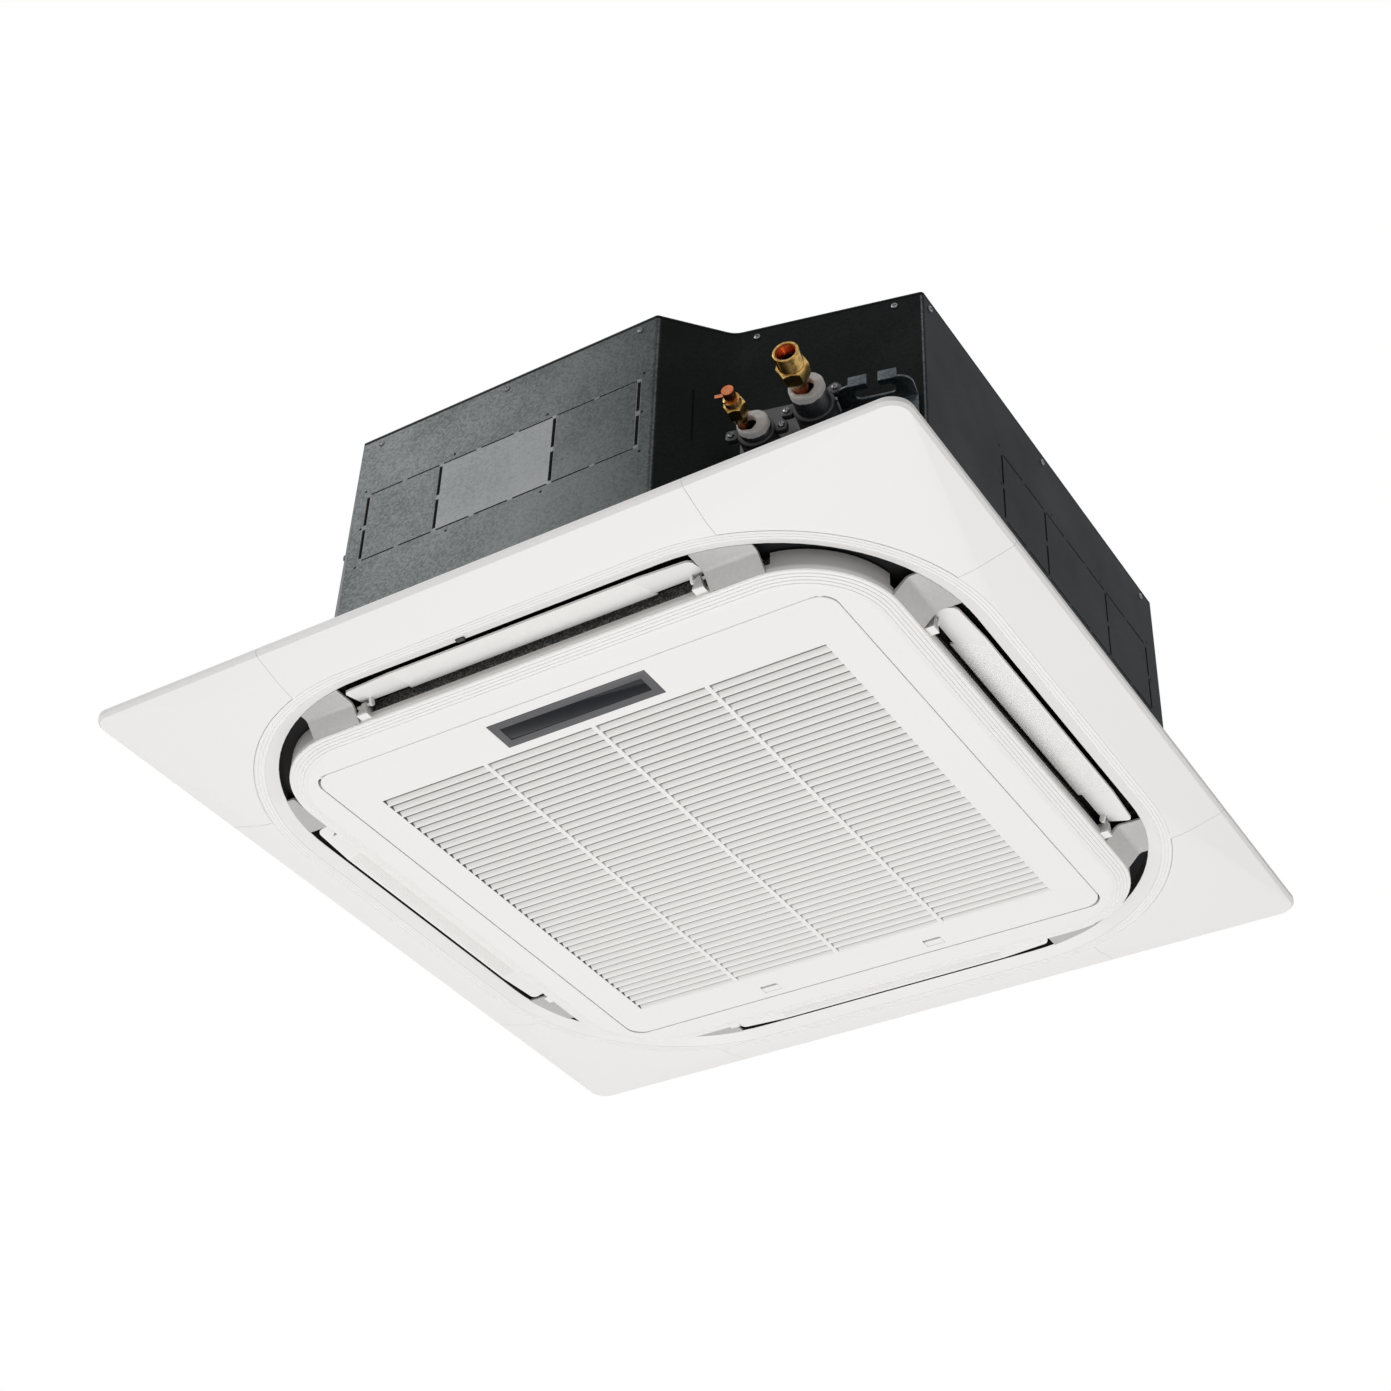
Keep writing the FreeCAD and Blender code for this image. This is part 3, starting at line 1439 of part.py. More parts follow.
# Fan wheel: a backward-curved wheel with a hub cone, blades and an inlet shroud

shroud_top = "fan_low + fan_shroud_rise"
shroud = spun("fan_shroud", [
    ("fan_eye", "fan_low"),
    ("fan_eye + fan_skin", "fan_low"),
    ("fan_eye + fan_skin", "(fan_low + %s) / 2" % shroud_top, "fan_shroud_rise / 3"),
    ("fan_radius", shroud_top + " - fan_skin"),
    ("fan_radius", shroud_top),
    ("fan_eye", "(fan_low + %s) / 2 + fan_skin" % shroud_top, "fan_shroud_rise / 3"),
])
back_plate = spun("fan_back_plate", [
    ("shaft_radius", "fan_hub_low"),
    ("fan_hub_radius", "fan_hub_low"),
    ("fan_hub_radius", "fan_hub_top"),
    ("fan_cone_radius", "fan_top - fan_skin"),
    ("fan_radius", "fan_top - fan_skin"),
    ("fan_radius", "fan_top"),
    ("fan_cone_radius - fan_skin", "fan_top"),
    ("fan_hub_radius - fan_skin", "fan_hub_top + fan_skin"),
    ("shaft_radius", "fan_hub_top + fan_skin"),
])
blade_out = "fan_radius - fan_blade_margin"
blade_middle = "(fan_blade_in + %s) / 2" % blade_out
fan_blade = column("fan_blade", [
    ("fan_blade_in", "0"),
    (blade_middle, "-fan_blade_sweep / 2 + fan_blade_belly", "fan_radius / 2"),
    (blade_out + " - fan_blade_belly", "-fan_blade_sweep"),
    (blade_out + " - fan_blade_belly - fan_skin", "-fan_blade_sweep"),
    (blade_middle + " - fan_skin", "-fan_blade_sweep / 2 + fan_blade_belly - fan_skin", "fan_radius / 2"),
    ("fan_blade_in - fan_skin", "-fan_skin"),
], shroud_top + " - fan_skin", "fan_top - fan_skin / 2")
fan_blades = []
for k in range(FAN_BLADES):
    copy = group("fan_blade_%d" % k, fan_blade)
    turn = FreeCAD.Rotation(FreeCAD.Vector(0, 0, 1), FULL_TURN * k / FAN_BLADES)
    copy.Placement = FreeCAD.Placement(FreeCAD.Vector(), turn)
    fan_blades.append(copy)
piece(fuse("fan_wheel", shroud, back_plate, *fan_blades))

# Motor shaft and the nut that holds the wheel on it

piece(rod("motor_shaft", "z", "shaft_radius", "shaft_low", "motor_low + motor_radius", ("0", "0")))
fan_nut_low = "fan_hub_low - fan_nut_height"
piece(cut(
    "fan_nut",
    column("fan_nut_hexagon", hex_corners("fan_nut_flats", "0", "0"), fan_nut_low, "fan_hub_low"),
    rod("fan_nut_bore", "z", "shaft_radius", fan_nut_low + " - overrun", "fan_hub_low + overrun", ("0", "0")),
))

# Fan motor, hung from the cabinet top on three rubber mounts

motor_body = rod("motor_body", "z", "motor_radius", "motor_low", "motor_high", ("0", "0"))
motor_cap_top = "motor_high + motor_cap_height"
motor_cap = rod("motor_cap", "z", "motor_cap_radius", "motor_high", motor_cap_top, ("0", "0"))
motor_bore = rod(
    "motor_bore", "z", "shaft_radius + running_clearance", "motor_low - overrun",
    "motor_low + motor_radius + running_clearance", ("0", "0"),
)
feet = []
mounts = []
for k in range(MOTOR_FEET):
    turn = FreeCAD.Rotation(FreeCAD.Vector(0, 0, 1), FULL_TURN * k / MOTOR_FEET)
    foot = block(
        "motor_foot_block_%d" % k,
        ("0", "motor_foot_circle + motor_foot_width / 2"),
        ("-motor_foot_width / 2", "motor_foot_width / 2"),
        ("motor_high - motor_foot_height", "motor_high"),
    )
    mount_place = ("motor_foot_circle", "0")
    mount = rod("motor_mount_rod_%d" % k, "z", "motor_mount_radius", "motor_high", "top_under", mount_place)
    for items, solid in ((feet, foot), (mounts, mount)):
        copy = group(solid.Name + "_turned", solid)
        copy.Placement = FreeCAD.Placement(FreeCAD.Vector(), turn)
        items.append(copy)
piece(cut("fan_motor", fuse("motor_solid", motor_body, motor_cap, *feet), motor_bore))
piece(group("motor_mounts", *mounts))

# Bell mouth: a flared ring under the pan that leads air into the wheel

bell_round = "bell_inlet - bell_throat - bell_skin"
piece(spun("bell_mouth", [
    ("bell_throat", "bell_height"),
    ("bell_throat", "0", bell_round),
    ("bell_flange", "0"),
    ("bell_flange", "seal_height"),
    ("bell_throat + bell_skin", "seal_height", bell_round + " - bell_skin"),
    ("bell_throat + bell_skin", "bell_height"),
]))

# Control box under the bell mouth's flange, with a cover and a terminal block inside

box_x = ("-box_half", "box_half")
box_y = ("box_front", "box_back")
box_inner_x = ("box_wall - box_half", "box_half - box_wall")
box_inner_y = ("box_front + box_wall", "box_back - box_wall")
piece(cut(
    "control_box",
    block("control_box_outside", box_x, box_y, ("-box_drop", "0")),
    block("control_box_inside", box_inner_x, box_inner_y, ("-box_drop - overrun", "-box_wall")),
))
piece(block("control_box_cover", box_x, box_y, ("-box_drop - box_cover", "-box_drop")))
piece(block(
    "terminal_block",
    ("-terminal_half", "terminal_half"),
    ("box_back - box_wall - terminal_depth", "box_back - box_wall"),
    ("-box_wall - terminal_height", "-box_wall"),
))

# Check every object and write one file for each piece

doc.recompute()
failed = [item.Label for item in doc.Objects if "Invalid" in item.State or "Error" in item.State]
if failed:
    raise RuntimeError("not computed: " + ", ".join(failed))
for solid in pieces:
    if solid.Shape.isNull() or not solid.Shape.isValid() or not solid.Shape.Solids:
        raise RuntimeError("no valid solid: " + solid.Label)
os.makedirs("parts", exist_ok=True)
for solid in pieces:
    solid.Shape.exportStep(os.path.join("parts", solid.Label + ".step"))
print("%d pieces" % len(pieces))
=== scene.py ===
import math
import bmesh
import bpy
from mathutils import Matrix, Vector


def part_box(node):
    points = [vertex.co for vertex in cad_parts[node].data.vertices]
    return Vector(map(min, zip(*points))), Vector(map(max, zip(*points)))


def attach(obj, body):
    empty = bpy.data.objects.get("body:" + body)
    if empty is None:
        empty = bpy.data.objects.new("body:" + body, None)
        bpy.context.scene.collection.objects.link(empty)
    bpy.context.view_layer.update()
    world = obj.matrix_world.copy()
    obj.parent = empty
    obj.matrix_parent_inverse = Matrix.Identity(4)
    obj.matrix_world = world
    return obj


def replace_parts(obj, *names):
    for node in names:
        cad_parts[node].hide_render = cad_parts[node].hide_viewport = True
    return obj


# The whole unit as it was packed: a square steel cabinet that hangs above a ceiling, and the white
# moulded panel that closes the hole below it. Lengths are metres, with the ceiling plane at zero.
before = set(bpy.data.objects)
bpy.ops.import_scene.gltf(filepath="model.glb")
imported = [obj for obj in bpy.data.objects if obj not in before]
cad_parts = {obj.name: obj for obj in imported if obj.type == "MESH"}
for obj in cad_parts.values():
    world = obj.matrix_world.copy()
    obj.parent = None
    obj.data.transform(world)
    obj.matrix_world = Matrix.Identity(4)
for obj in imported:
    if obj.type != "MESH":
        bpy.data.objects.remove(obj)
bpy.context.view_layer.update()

# The stage: a white studio below the hanging unit, seen from under its front right corner. A broad
# lamp lights the panel from below, and a weaker one the cabinet's front from the upper left.
EYE = Vector((1.14167, -1.79518, -1.45179))
LOOK = Vector((-0.43764, 0.66627, 0.60378)).normalized()
ACROSS = Vector((0.84783, 0.52940, 0.03034)).normalized()
SENSOR_WIDTH = 36.0
LENS_LENGTH = 61.52
SIGHT_LIMIT = 60.0
LAMPS = {
    "panel_lamp": dict(place=(-0.1, -0.1, -2.8), aim=(0, 0, 0), width=3.4, power=73),
    "front_lamp": dict(place=(-1.5, -2.6, 1.9), aim=(0, -0.4, 0.15), width=1.4, power=28),
}
FLOOR_LEVEL = -3.2
FLOOR_HALF = 9.0
FLOOR_CUTS = 4
FLOOR_COLOUR = (0.86, 0.86, 0.86, 1.0)
FLOOR_ROUGH = 0.9
FLOOR_GLOW = 0.85
FILL_COLOUR = (1.0, 0.99, 0.98, 1.0)
FILL_STRENGTH = 0.42
WHITE = (1.0, 1.0, 1.0, 1.0)

camera_data = bpy.data.cameras.new("camera")
camera_data.sensor_width = SENSOR_WIDTH
camera_data.lens = LENS_LENGTH
camera_data.clip_end = SIGHT_LIMIT
camera = bpy.data.objects.new("camera", camera_data)
camera_turn = Matrix((ACROSS, ACROSS.cross(LOOK), -LOOK)).transposed()
camera.matrix_world = Matrix.Translation(EYE) @ camera_turn.to_4x4()
bpy.context.scene.collection.objects.link(camera)
bpy.context.scene.camera = camera
bpy.context.scene.view_settings.view_transform = "Standard"


def node(tree, kind, inputs=None, **settings):
    """One shader node with its settings, and its sockets set or joined."""
    made = tree.nodes.new("ShaderNode" + kind)
    for key, value in settings.items():
        setattr(made, key, value)
    for key, value in (inputs or {}).items():
        if isinstance(value, bpy.types.NodeSocket):
            tree.links.new(value, made.inputs[key])
        else:
            made.inputs[key].default_value = value
    return made


def worked(tree, operation, *values):
    """One step of arithmetic on sockets and numbers."""
    return node(tree, "Math", dict(enumerate(values)), operation=operation).outputs[0]


def looked_at(tree):
    """Whether a ray looks at the background: straight, in a reflection, or through glass."""
    ray = node(tree, "LightPath").outputs
    seen = worked(tree, "MAXIMUM", ray["Is Camera Ray"], ray["Is Glossy Ray"])
    return worked(tree, "MAXIMUM", seen, ray["Is Transmission Ray"])


world = bpy.data.worlds.new("studio")
bpy.context.scene.world = world
world.use_nodes = True
sky = world.node_tree
sky.nodes.clear()
fill = node(sky, "Background", {"Color": FILL_COLOUR, "Strength": FILL_STRENGTH}).outputs[0]
white = node(sky, "Background", {"Color": WHITE, "Strength": 1.0}).outputs[0]
studio = node(sky, "MixShader", {0: looked_at(sky), 1: fill, 2: white}).outputs[0]
node(sky, "OutputWorld", {"Surface": studio})

for name, lamp in LAMPS.items():
    light = bpy.data.lights.new(name, "AREA")
    light.shape = "SQUARE"
    light.size = lamp["width"]
    light.energy = lamp["power"]
    holder = bpy.data.objects.new(name, light)
    holder.location = lamp["place"]
    beam = Vector(lamp["aim"]) - Vector(lamp["place"])
    holder.rotation_euler = beam.to_track_quat("-Z", "Y").to_euler()
    bpy.context.scene.collection.objects.link(holder)


def mesh_from(name, shape):
    """A mesh made of a finished shape."""
    mesh = bpy.data.meshes.new(name)
    shape.to_mesh(mesh)
    shape.free()
    return mesh


floor_shape = bmesh.new()
bmesh.ops.create_grid(floor_shape, x_segments=FLOOR_CUTS, y_segments=FLOOR_CUTS, size=FLOOR_HALF)
bmesh.ops.translate(floor_shape, verts=floor_shape.verts, vec=(0, 0, FLOOR_LEVEL))
floor = bpy.data.objects.new("floor", mesh_from("floor", floor_shape))
bpy.context.scene.collection.objects.link(floor)
floor_paint = bpy.data.materials.new("floor_paint")
floor_paint.use_nodes = True
paint = floor_paint.node_tree
floor_shader = paint.nodes["Principled BSDF"]
floor_shader.inputs["Base Color"].default_value = FLOOR_COLOUR
floor_shader.inputs["Roughness"].default_value = FLOOR_ROUGH
floor_share = worked(paint, "MULTIPLY", looked_at(paint), FLOOR_GLOW)
glow = node(paint, "Emission", {"Color": WHITE, "Strength": 1.0}).outputs[0]
blend = node(paint, "MixShader", {0: floor_share, 1: floor_shader.outputs[0], 2: glow}).outputs[0]
paint.links.new(blend, paint.nodes["Material Output"].inputs["Surface"])
floor.data.materials.append(floor_paint)

# The cabinet wrap: zinc-coated sheet steel, punched with knock-outs and bent round the works.
# The front keeps the zinc's frosted spangle, with painted shade deepening towards its right end, a
# painted highlight on the middle knock-out plate, which is also a little lighter zinc, and painted
# highlights along the knock-out cuts. The pipe notch is coated dark, the right side is darkened by
# painted shade, and the top edge is darkened.
CABINET_HALF = 0.42
SHEET = 0.0015
NOTCH_START = 0.17
NOTCH_BACK = -0.30
KNOCKOUT_LEVELS = (0.126, 0.217)
KNOCKOUT_EDGES = (-0.182, -0.0868, 0.056, 0.158)
# Reach of the painted highlights either side of the knock-out cuts, and the soft edge of the plate
# masks.
CUT_EDGE_REACH = 0.0016
# Painted shade on the front: where it starts and where it is full, across the width.
FRONT_SHADE_FROM = -0.12
FRONT_SHADE_TO = 0.20
DARK_TOP_EDGE_LEVEL = 0.2955
ZINC_SPECKLE = 430.0
ZINC_CLOUD = 7.0
SPANGLE_DARK = (0.082, 0.093, 0.097)
SPANGLE_LIGHT = (0.270, 0.282, 0.282)
# The middle plate's lighter tone: partly painted highlight, partly its own lighter zinc.
PLATE_LIGHT = (0.27, 0.28, 0.275)
# Painted shade, near black, for the right side and the front's right end.
PAINTED_SIDE_SHADE = (0.005, 0.010, 0.014)
NOTCH_COAT = (0.0042, 0.0050, 0.0050)
# Painted highlight along the knock-out cuts.
CUT_HIGHLIGHT = (0.22, 0.225, 0.225)
WRAP_ROUGH = (0.38, 0.55)
WRAP_SHINE = (0.25, 0.4)
WRAP_SPECULAR = 0.025
WRAP_RELIEF = 0.0004


def blank_material(name):
    """A material with its shader, and the piece's own coordinates to place patterns by."""
    material = bpy.data.materials.new(name)
    material.use_nodes = True
    tree = material.node_tree
    place = node(tree, "TexCoord").outputs["Object"]
    return material, tree, tree.nodes["Principled BSDF"], place


def axes(tree, place):
    """A place's three coordinates."""
    return node(tree, "SeparateXYZ", {"Vector": place}).outputs


def two_tone(tree, low, high, mask):
    """A colour between two, by a mask; either may be a colour or another node's output."""
    blend = node(tree, "Mix", {0: mask}, data_type="RGBA")
    for socket, colour in ((blend.inputs[6], low), (blend.inputs[7], high)):
        if isinstance(colour, bpy.types.NodeSocket):
            tree.links.new(colour, socket)
        else:
            socket.default_value = colour + (1.0,)
    return blend.outputs[2]


def mixed(tree, share, first, second):
    """Two patterns in one, with a share of the second."""
    return node(tree, "Mix", {0: share, 2: first, 3: second}).outputs[0]


def between(tree, mask, low, high):
    """A value between two, by a mask."""
    return node(tree, "MapRange", {"Value": mask, "To Min": low, "To Max": high}).outputs["Result"]


def rising(tree, value, start, end):
    """A mask that goes smoothly from nought at the start to one at the end."""
    ranges = {"Value": value, "From Min": start, "From Max": end}
    return node(tree, "MapRange", ranges, interpolation_type="SMOOTHSTEP").outputs["Result"]


def both(tree, *masks):
    """Where all the masks meet."""
    product = masks[0]
    for mask in masks[1:]:
        product = worked(tree, "MULTIPLY", product, mask)
    return product


def either(tree, *masks):
    """Where any of the masks is."""
    most = masks[0]
    for mask in masks[1:]:
        most = worked(tree, "MAXIMUM", most, mask)
    return most


def inside(tree, value, low, high, soft):
    """Between two limits, with soft edges."""
    return both(tree, rising(tree, value, low - soft, low), rising(tree, value, high + soft, high))


def near(tree, value, middle, reach):
    """Close to one value."""
    away = worked(tree, "ABSOLUTE", worked(tree, "SUBTRACT", value, middle))
    return rising(tree, away, reach, reach * 0.6)


def new_pattern(name, setting, results):
    """A node group that takes a place and one setting, with the sockets to build between."""
    group = bpy.data.node_groups.new(name, "ShaderNodeTree")
    group.interface.new_socket("Place", in_out="INPUT", socket_type="NodeSocketVector")
    group.interface.new_socket(setting, in_out="INPUT", socket_type="NodeSocketFloat")
    for result in results:
        group.interface.new_socket(result, in_out="OUTPUT", socket_type="NodeSocketFloat")
    start = group.nodes.new("NodeGroupInput").outputs
    end = group.nodes.new("NodeGroupOutput").inputs
    return group, start, end


def patterned(tree, group, place, setting):
    """What a pattern gives at a place, under its setting."""
    made = tree.nodes.new("ShaderNodeGroup")
    made.node_tree = group
    tree.links.new(place, made.inputs[0])
    made.inputs[1].default_value = setting
    return made.outputs


def spangle_group():
    """Zinc's frosted crystals: a fine speckle, and broad cloudy patches."""
    group, start, end = new_pattern("zinc_spangle", "Speckle Scale", ("Speckle", "Cloud"))
    scaled = {"Vector": start["Place"], "Scale": start["Speckle Scale"]}
    crystals = node(group, "TexVoronoi", scaled).outputs["Color"]
    grains = node(group, "TexNoise", {**scaled, "Detail": 3.0}).outputs["Fac"]
    tone = node(group, "SeparateColor", {"Color": crystals}).outputs[0]
    broad = {"Vector": start["Place"], "Scale": ZINC_CLOUD, "Detail": 5.0}
    group.links.new(mixed(group, 0.5, tone, grains), end["Speckle"])
    group.links.new(node(group, "TexNoise", broad).outputs["Fac"], end["Cloud"])
    return group


zinc_spangle = spangle_group()


def dress(tree, shader, colour, roughness):
    """Joins a colour and a roughness to the shader."""
    tree.links.new(colour, shader.inputs["Base Color"])
    tree.links.new(roughness, shader.inputs["Roughness"])


def roughen(tree, shader, height, strength, depth):
    """A fine relief in the surface."""
    bump = node(tree, "Bump", {"Height": height, "Strength": strength, "Distance": depth})
    tree.links.new(bump.outputs["Normal"], shader.inputs["Normal"])


def coat(material, *names):
    """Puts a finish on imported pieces."""
    for name in names:
        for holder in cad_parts[name].material_slots:
            holder.material = material


def wrap_steel():
    material, tree, shader, place = blank_material("wrap_steel")
    x, y, z = axes(tree, place)
    speckle, cloud = patterned(tree, zinc_spangle, place, ZINC_SPECKLE)
    mottle = rising(tree, mixed(tree, 0.55, speckle, cloud), 0.25, 0.75)
    front = rising(tree, y, SHEET - CABINET_HALF, SHEET / 2 - CABINET_HALF)
    side = rising(tree, x, CABINET_HALF - SHEET, CABINET_HALF - SHEET / 2)
    colour = two_tone(tree, SPANGLE_DARK, SPANGLE_LIGHT, mottle)
    # Painted shade: the front darkens towards its right end, in the side's near-black colour.
    painted_front_shade = both(tree, rising(tree, x, FRONT_SHADE_FROM, FRONT_SHADE_TO), between(tree, front, 0.0, 0.6))
    colour = two_tone(tree, colour, PAINTED_SIDE_SHADE, painted_front_shade)
    in_height = inside(tree, z, KNOCKOUT_LEVELS[0], KNOCKOUT_LEVELS[1], CUT_EDGE_REACH)
    in_plate = inside(tree, x, KNOCKOUT_EDGES[1], KNOCKOUT_EDGES[2], CUT_EDGE_REACH)
    plate = both(tree, front, in_plate, in_height)
    plate_tone = two_tone(tree, SPANGLE_LIGHT, PLATE_LIGHT, mottle)
    # Partly painted highlight, partly the plate's own lighter zinc: the middle knock-out plate is
    # made lighter.
    plate_tone_and_highlight = both(tree, plate, between(tree, mottle, 0.3, 0.75))
    colour = two_tone(tree, colour, plate_tone, plate_tone_and_highlight)
    # Painted highlights: thin bright lines along the knock-out cuts, broken by the speckle.
    level_edges = either(tree, *[near(tree, z, level, CUT_EDGE_REACH) for level in KNOCKOUT_LEVELS])
    upright_edges = either(tree, *[near(tree, x, edge, CUT_EDGE_REACH * 2) for edge in KNOCKOUT_EDGES])
    in_row = inside(tree, x, KNOCKOUT_EDGES[0], KNOCKOUT_EDGES[-1], CUT_EDGE_REACH)
    painted_cut_highlight = either(tree, both(tree, level_edges, in_row), both(tree, upright_edges, in_height))
    painted_cut_highlight = both(tree, front, painted_cut_highlight, between(tree, speckle, 0.3, 1.0))
    colour = two_tone(tree, colour, CUT_HIGHLIGHT, painted_cut_highlight)
    # Painted shade: the right side is made near black.
    painted_side_shade = both(tree, side, between(tree, cloud, 1.0, 0.75))
    colour = two_tone(tree, colour, PAINTED_SIDE_SHADE, painted_side_shade)
    coated_notch = both(
        tree,
        rising(tree, x, NOTCH_START, NOTCH_START + SHEET * 6),
        rising(tree, y, SHEET - CABINET_HALF, SHEET * 2 - CABINET_HALF),
        rising(tree, y, NOTCH_BACK, NOTCH_BACK - SHEET),
        rising(tree, x, CABINET_HALF - SHEET, CABINET_HALF - SHEET * 2),
        between(tree, cloud, 1.0, 0.9),
    )
    colour = two_tone(tree, colour, NOTCH_COAT, coated_notch)
    # The wrap's top edge is darkened with the notch's dark colour.
    dark_top_edge = rising(tree, z, DARK_TOP_EDGE_LEVEL, DARK_TOP_EDGE_LEVEL + SHEET / 2)
    colour = two_tone(tree, colour, NOTCH_COAT, dark_top_edge)
    dress(tree, shader, colour, between(tree, speckle, *WRAP_ROUGH))
    shine = both(tree, front, between(tree, plate, *WRAP_SHINE))
    tree.links.new(shine, shader.inputs["Metallic"])
    shader.inputs["Specular IOR Level"].default_value = WRAP_SPECULAR
    roughen(tree, shader, speckle, 0.08, WRAP_RELIEF)
    return material


coat(wrap_steel(), "cabinet_shell")

# The lid: a flat dark-coated sheet with a flange turned down inside the wrap. Its middle is pressed
# down a little, and a square bead and four diagonal ones keep the sheet from drumming.
LID_DARK = (0.010, 0.011, 0.012)
LID_LIGHT = (0.040, 0.043, 0.045)
LID_ROUGH = (0.36, 0.56)
LID_SPECULAR = 0.3
LID_RELIEF = 0.0003
LID_TOP = 0.300
LID_PAN = 0.285
LID_STEP_RUN = 0.003
LID_STEP = 0.0009
LID_CREASE = 8.0
LID_BEAD_CORE = 0.19
LID_BEAD_OUT = 0.05
LID_BEAD_HALF = 0.006
LID_BEAD_RISE = 0.0008
LID_BEAD_STEPS = 12
LID_BEAD_CREASE = 50.0
LID_SPOKE_FROM = 0.10
LID_SPOKE_TO = 0.27
PIECE_CREASE = 35.0
PACKED_MERGE = 2e-6
SWEPT_MERGE = 1e-5
HAIR = 1e-6


def lid_steel():
    material, tree, shader, place = blank_material("lid_steel")
    speckle, cloud = patterned(tree, zinc_spangle, place, ZINC_SPECKLE)
    colour = two_tone(tree, LID_DARK, LID_LIGHT, mixed(tree, 0.5, speckle, cloud))
    dress(tree, shader, colour, between(tree, cloud, *LID_ROUGH))
    shader.inputs["Specular IOR Level"].default_value = LID_SPECULAR
    roughen(tree, shader, speckle, 0.06, LID_RELIEF)
    return material


def packed_copy(node_name):
    """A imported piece's shape, with its loose triangles joined."""
    shape = bmesh.new()
    shape.from_mesh(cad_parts[node_name].data)
    bmesh.ops.remove_doubles(shape, verts=shape.verts, dist=PACKED_MERGE)
    return shape


def make_piece(name, shape, finish, body="unit", crease=PIECE_CREASE):
    """A new piece from its shape: smoothed, finished, and set to ride on a body."""
    mesh = mesh_from(name, shape)
    mesh.shade_smooth()
    mesh.set_sharp_from_angle(angle=math.radians(crease))
    mesh.materials.append(finish)
    made = bpy.data.objects.new(name, mesh)
    bpy.context.scene.collection.objects.link(made)
    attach(made, body)
    return made


def only(kind, items):
    """The items that are of one kind."""
    return [item for item in items if isinstance(item, kind)]


def sweep_square(shape, profile, core, steps):
    """Carries a closed profile of distance out and height round a square, with round corners."""
    verts = [shape.verts.new((core + out, -core, height)) for out, height in profile]
    edges = [shape.edges.new(ends) for ends in zip(verts, verts[1:] + verts[:1])]
    for quarter in range(4):
        turn = Matrix.Rotation(math.pi / 2 * quarter, 3, "Z")
        grown = bmesh.ops.extrude_edge_only(shape, edges=edges)["geom"]
        ends = only(bmesh.types.BMVert, grown)
        bmesh.ops.translate(shape, verts=ends, vec=turn @ Vector((0, 2 * core, 0)))
        edges = [
            edge for edge in only(bmesh.types.BMEdge, grown)
            if all(vert in ends for vert in edge.verts)
        ]
        last = bmesh.ops.spin(
            shape, geom=ends + edges, cent=turn @ Vector((core, core, 0)), axis=(0, 0, 1),
            angle=math.pi / 2, steps=steps,
        )["geom_last"]
        edges = only(bmesh.types.BMEdge, last)
    bmesh.ops.remove_doubles(shape, verts=shape.verts, dist=SWEPT_MERGE)
    bmesh.ops.recalc_face_normals(shape, faces=shape.faces)


def half_round(out, height, half, rise):
    """A thin bead's closed section, rooted a little inside its face; a rise below nought hangs."""
    root = height - rise * 0.3
    shoulder = height + rise * 0.8
    return [
        (out - half, root), (out - half, height), (out - half * 0.6, shoulder),
        (out, height + rise),
        (out + half * 0.6, shoulder), (out + half, height), (out + half, root),
    ]


lid_finish = lid_steel()
lid = packed_copy("cabinet_top")
for across in (Vector((1, 0, 0)), Vector((0, 1, 0))):
    for reach in (LID_PAN, LID_PAN - LID_STEP_RUN, LID_STEP_RUN - LID_PAN, -LID_PAN):
        everything = lid.verts[:] + lid.edges[:] + lid.faces[:]
        bmesh.ops.bisect_plane(
            lid, geom=everything, plane_co=across * reach, plane_no=across, dist=HAIR
        )
sunk_half = LID_PAN - LID_STEP_RUN / 2
sunk_verts = [
    vert for vert in lid.verts
    if vert.co.z > LID_TOP - SWEPT_MERGE and max(abs(vert.co.x), abs(vert.co.y)) < sunk_half
]
bmesh.ops.translate(lid, verts=sunk_verts, vec=(0, 0, -LID_STEP))
bmesh.ops.recalc_face_normals(lid, faces=lid.faces)
lid_sheet = make_piece("lid_sheet", lid, lid_finish, crease=LID_CREASE)
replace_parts(lid_sheet, "cabinet_top")

lid_beads = bmesh.new()
bead_level = LID_TOP - LID_STEP
bead = half_round(LID_BEAD_OUT, bead_level, LID_BEAD_HALF, LID_BEAD_RISE)
sweep_square(lid_beads, bead, LID_BEAD_CORE, LID_BEAD_STEPS)
spoke = bmesh.new()
section = [
    spoke.verts.new((LID_SPOKE_FROM, out, height))
    for out, height in half_round(0.0, bead_level, LID_BEAD_HALF, LID_BEAD_RISE)
]
end_face = spoke.faces.new(section)
grown = bmesh.ops.extrude_face_region(spoke, geom=[end_face])["geom"]
far_verts = only(bmesh.types.BMVert, grown)
bmesh.ops.translate(spoke, verts=far_verts, vec=(LID_SPOKE_TO - LID_SPOKE_FROM, 0, 0))
bmesh.ops.recalc_face_normals(spoke, faces=spoke.faces)
spoke_mesh = mesh_from("lid_spoke", spoke)
for quarter in range(4):
    spoke_mesh.transform(Matrix.Rotation(math.pi / (4 if quarter == 0 else 2), 4, "Z"))
    lid_beads.from_mesh(spoke_mesh)
make_piece("lid_beads", lid_beads, lid_finish, crease=LID_BEAD_CREASE)

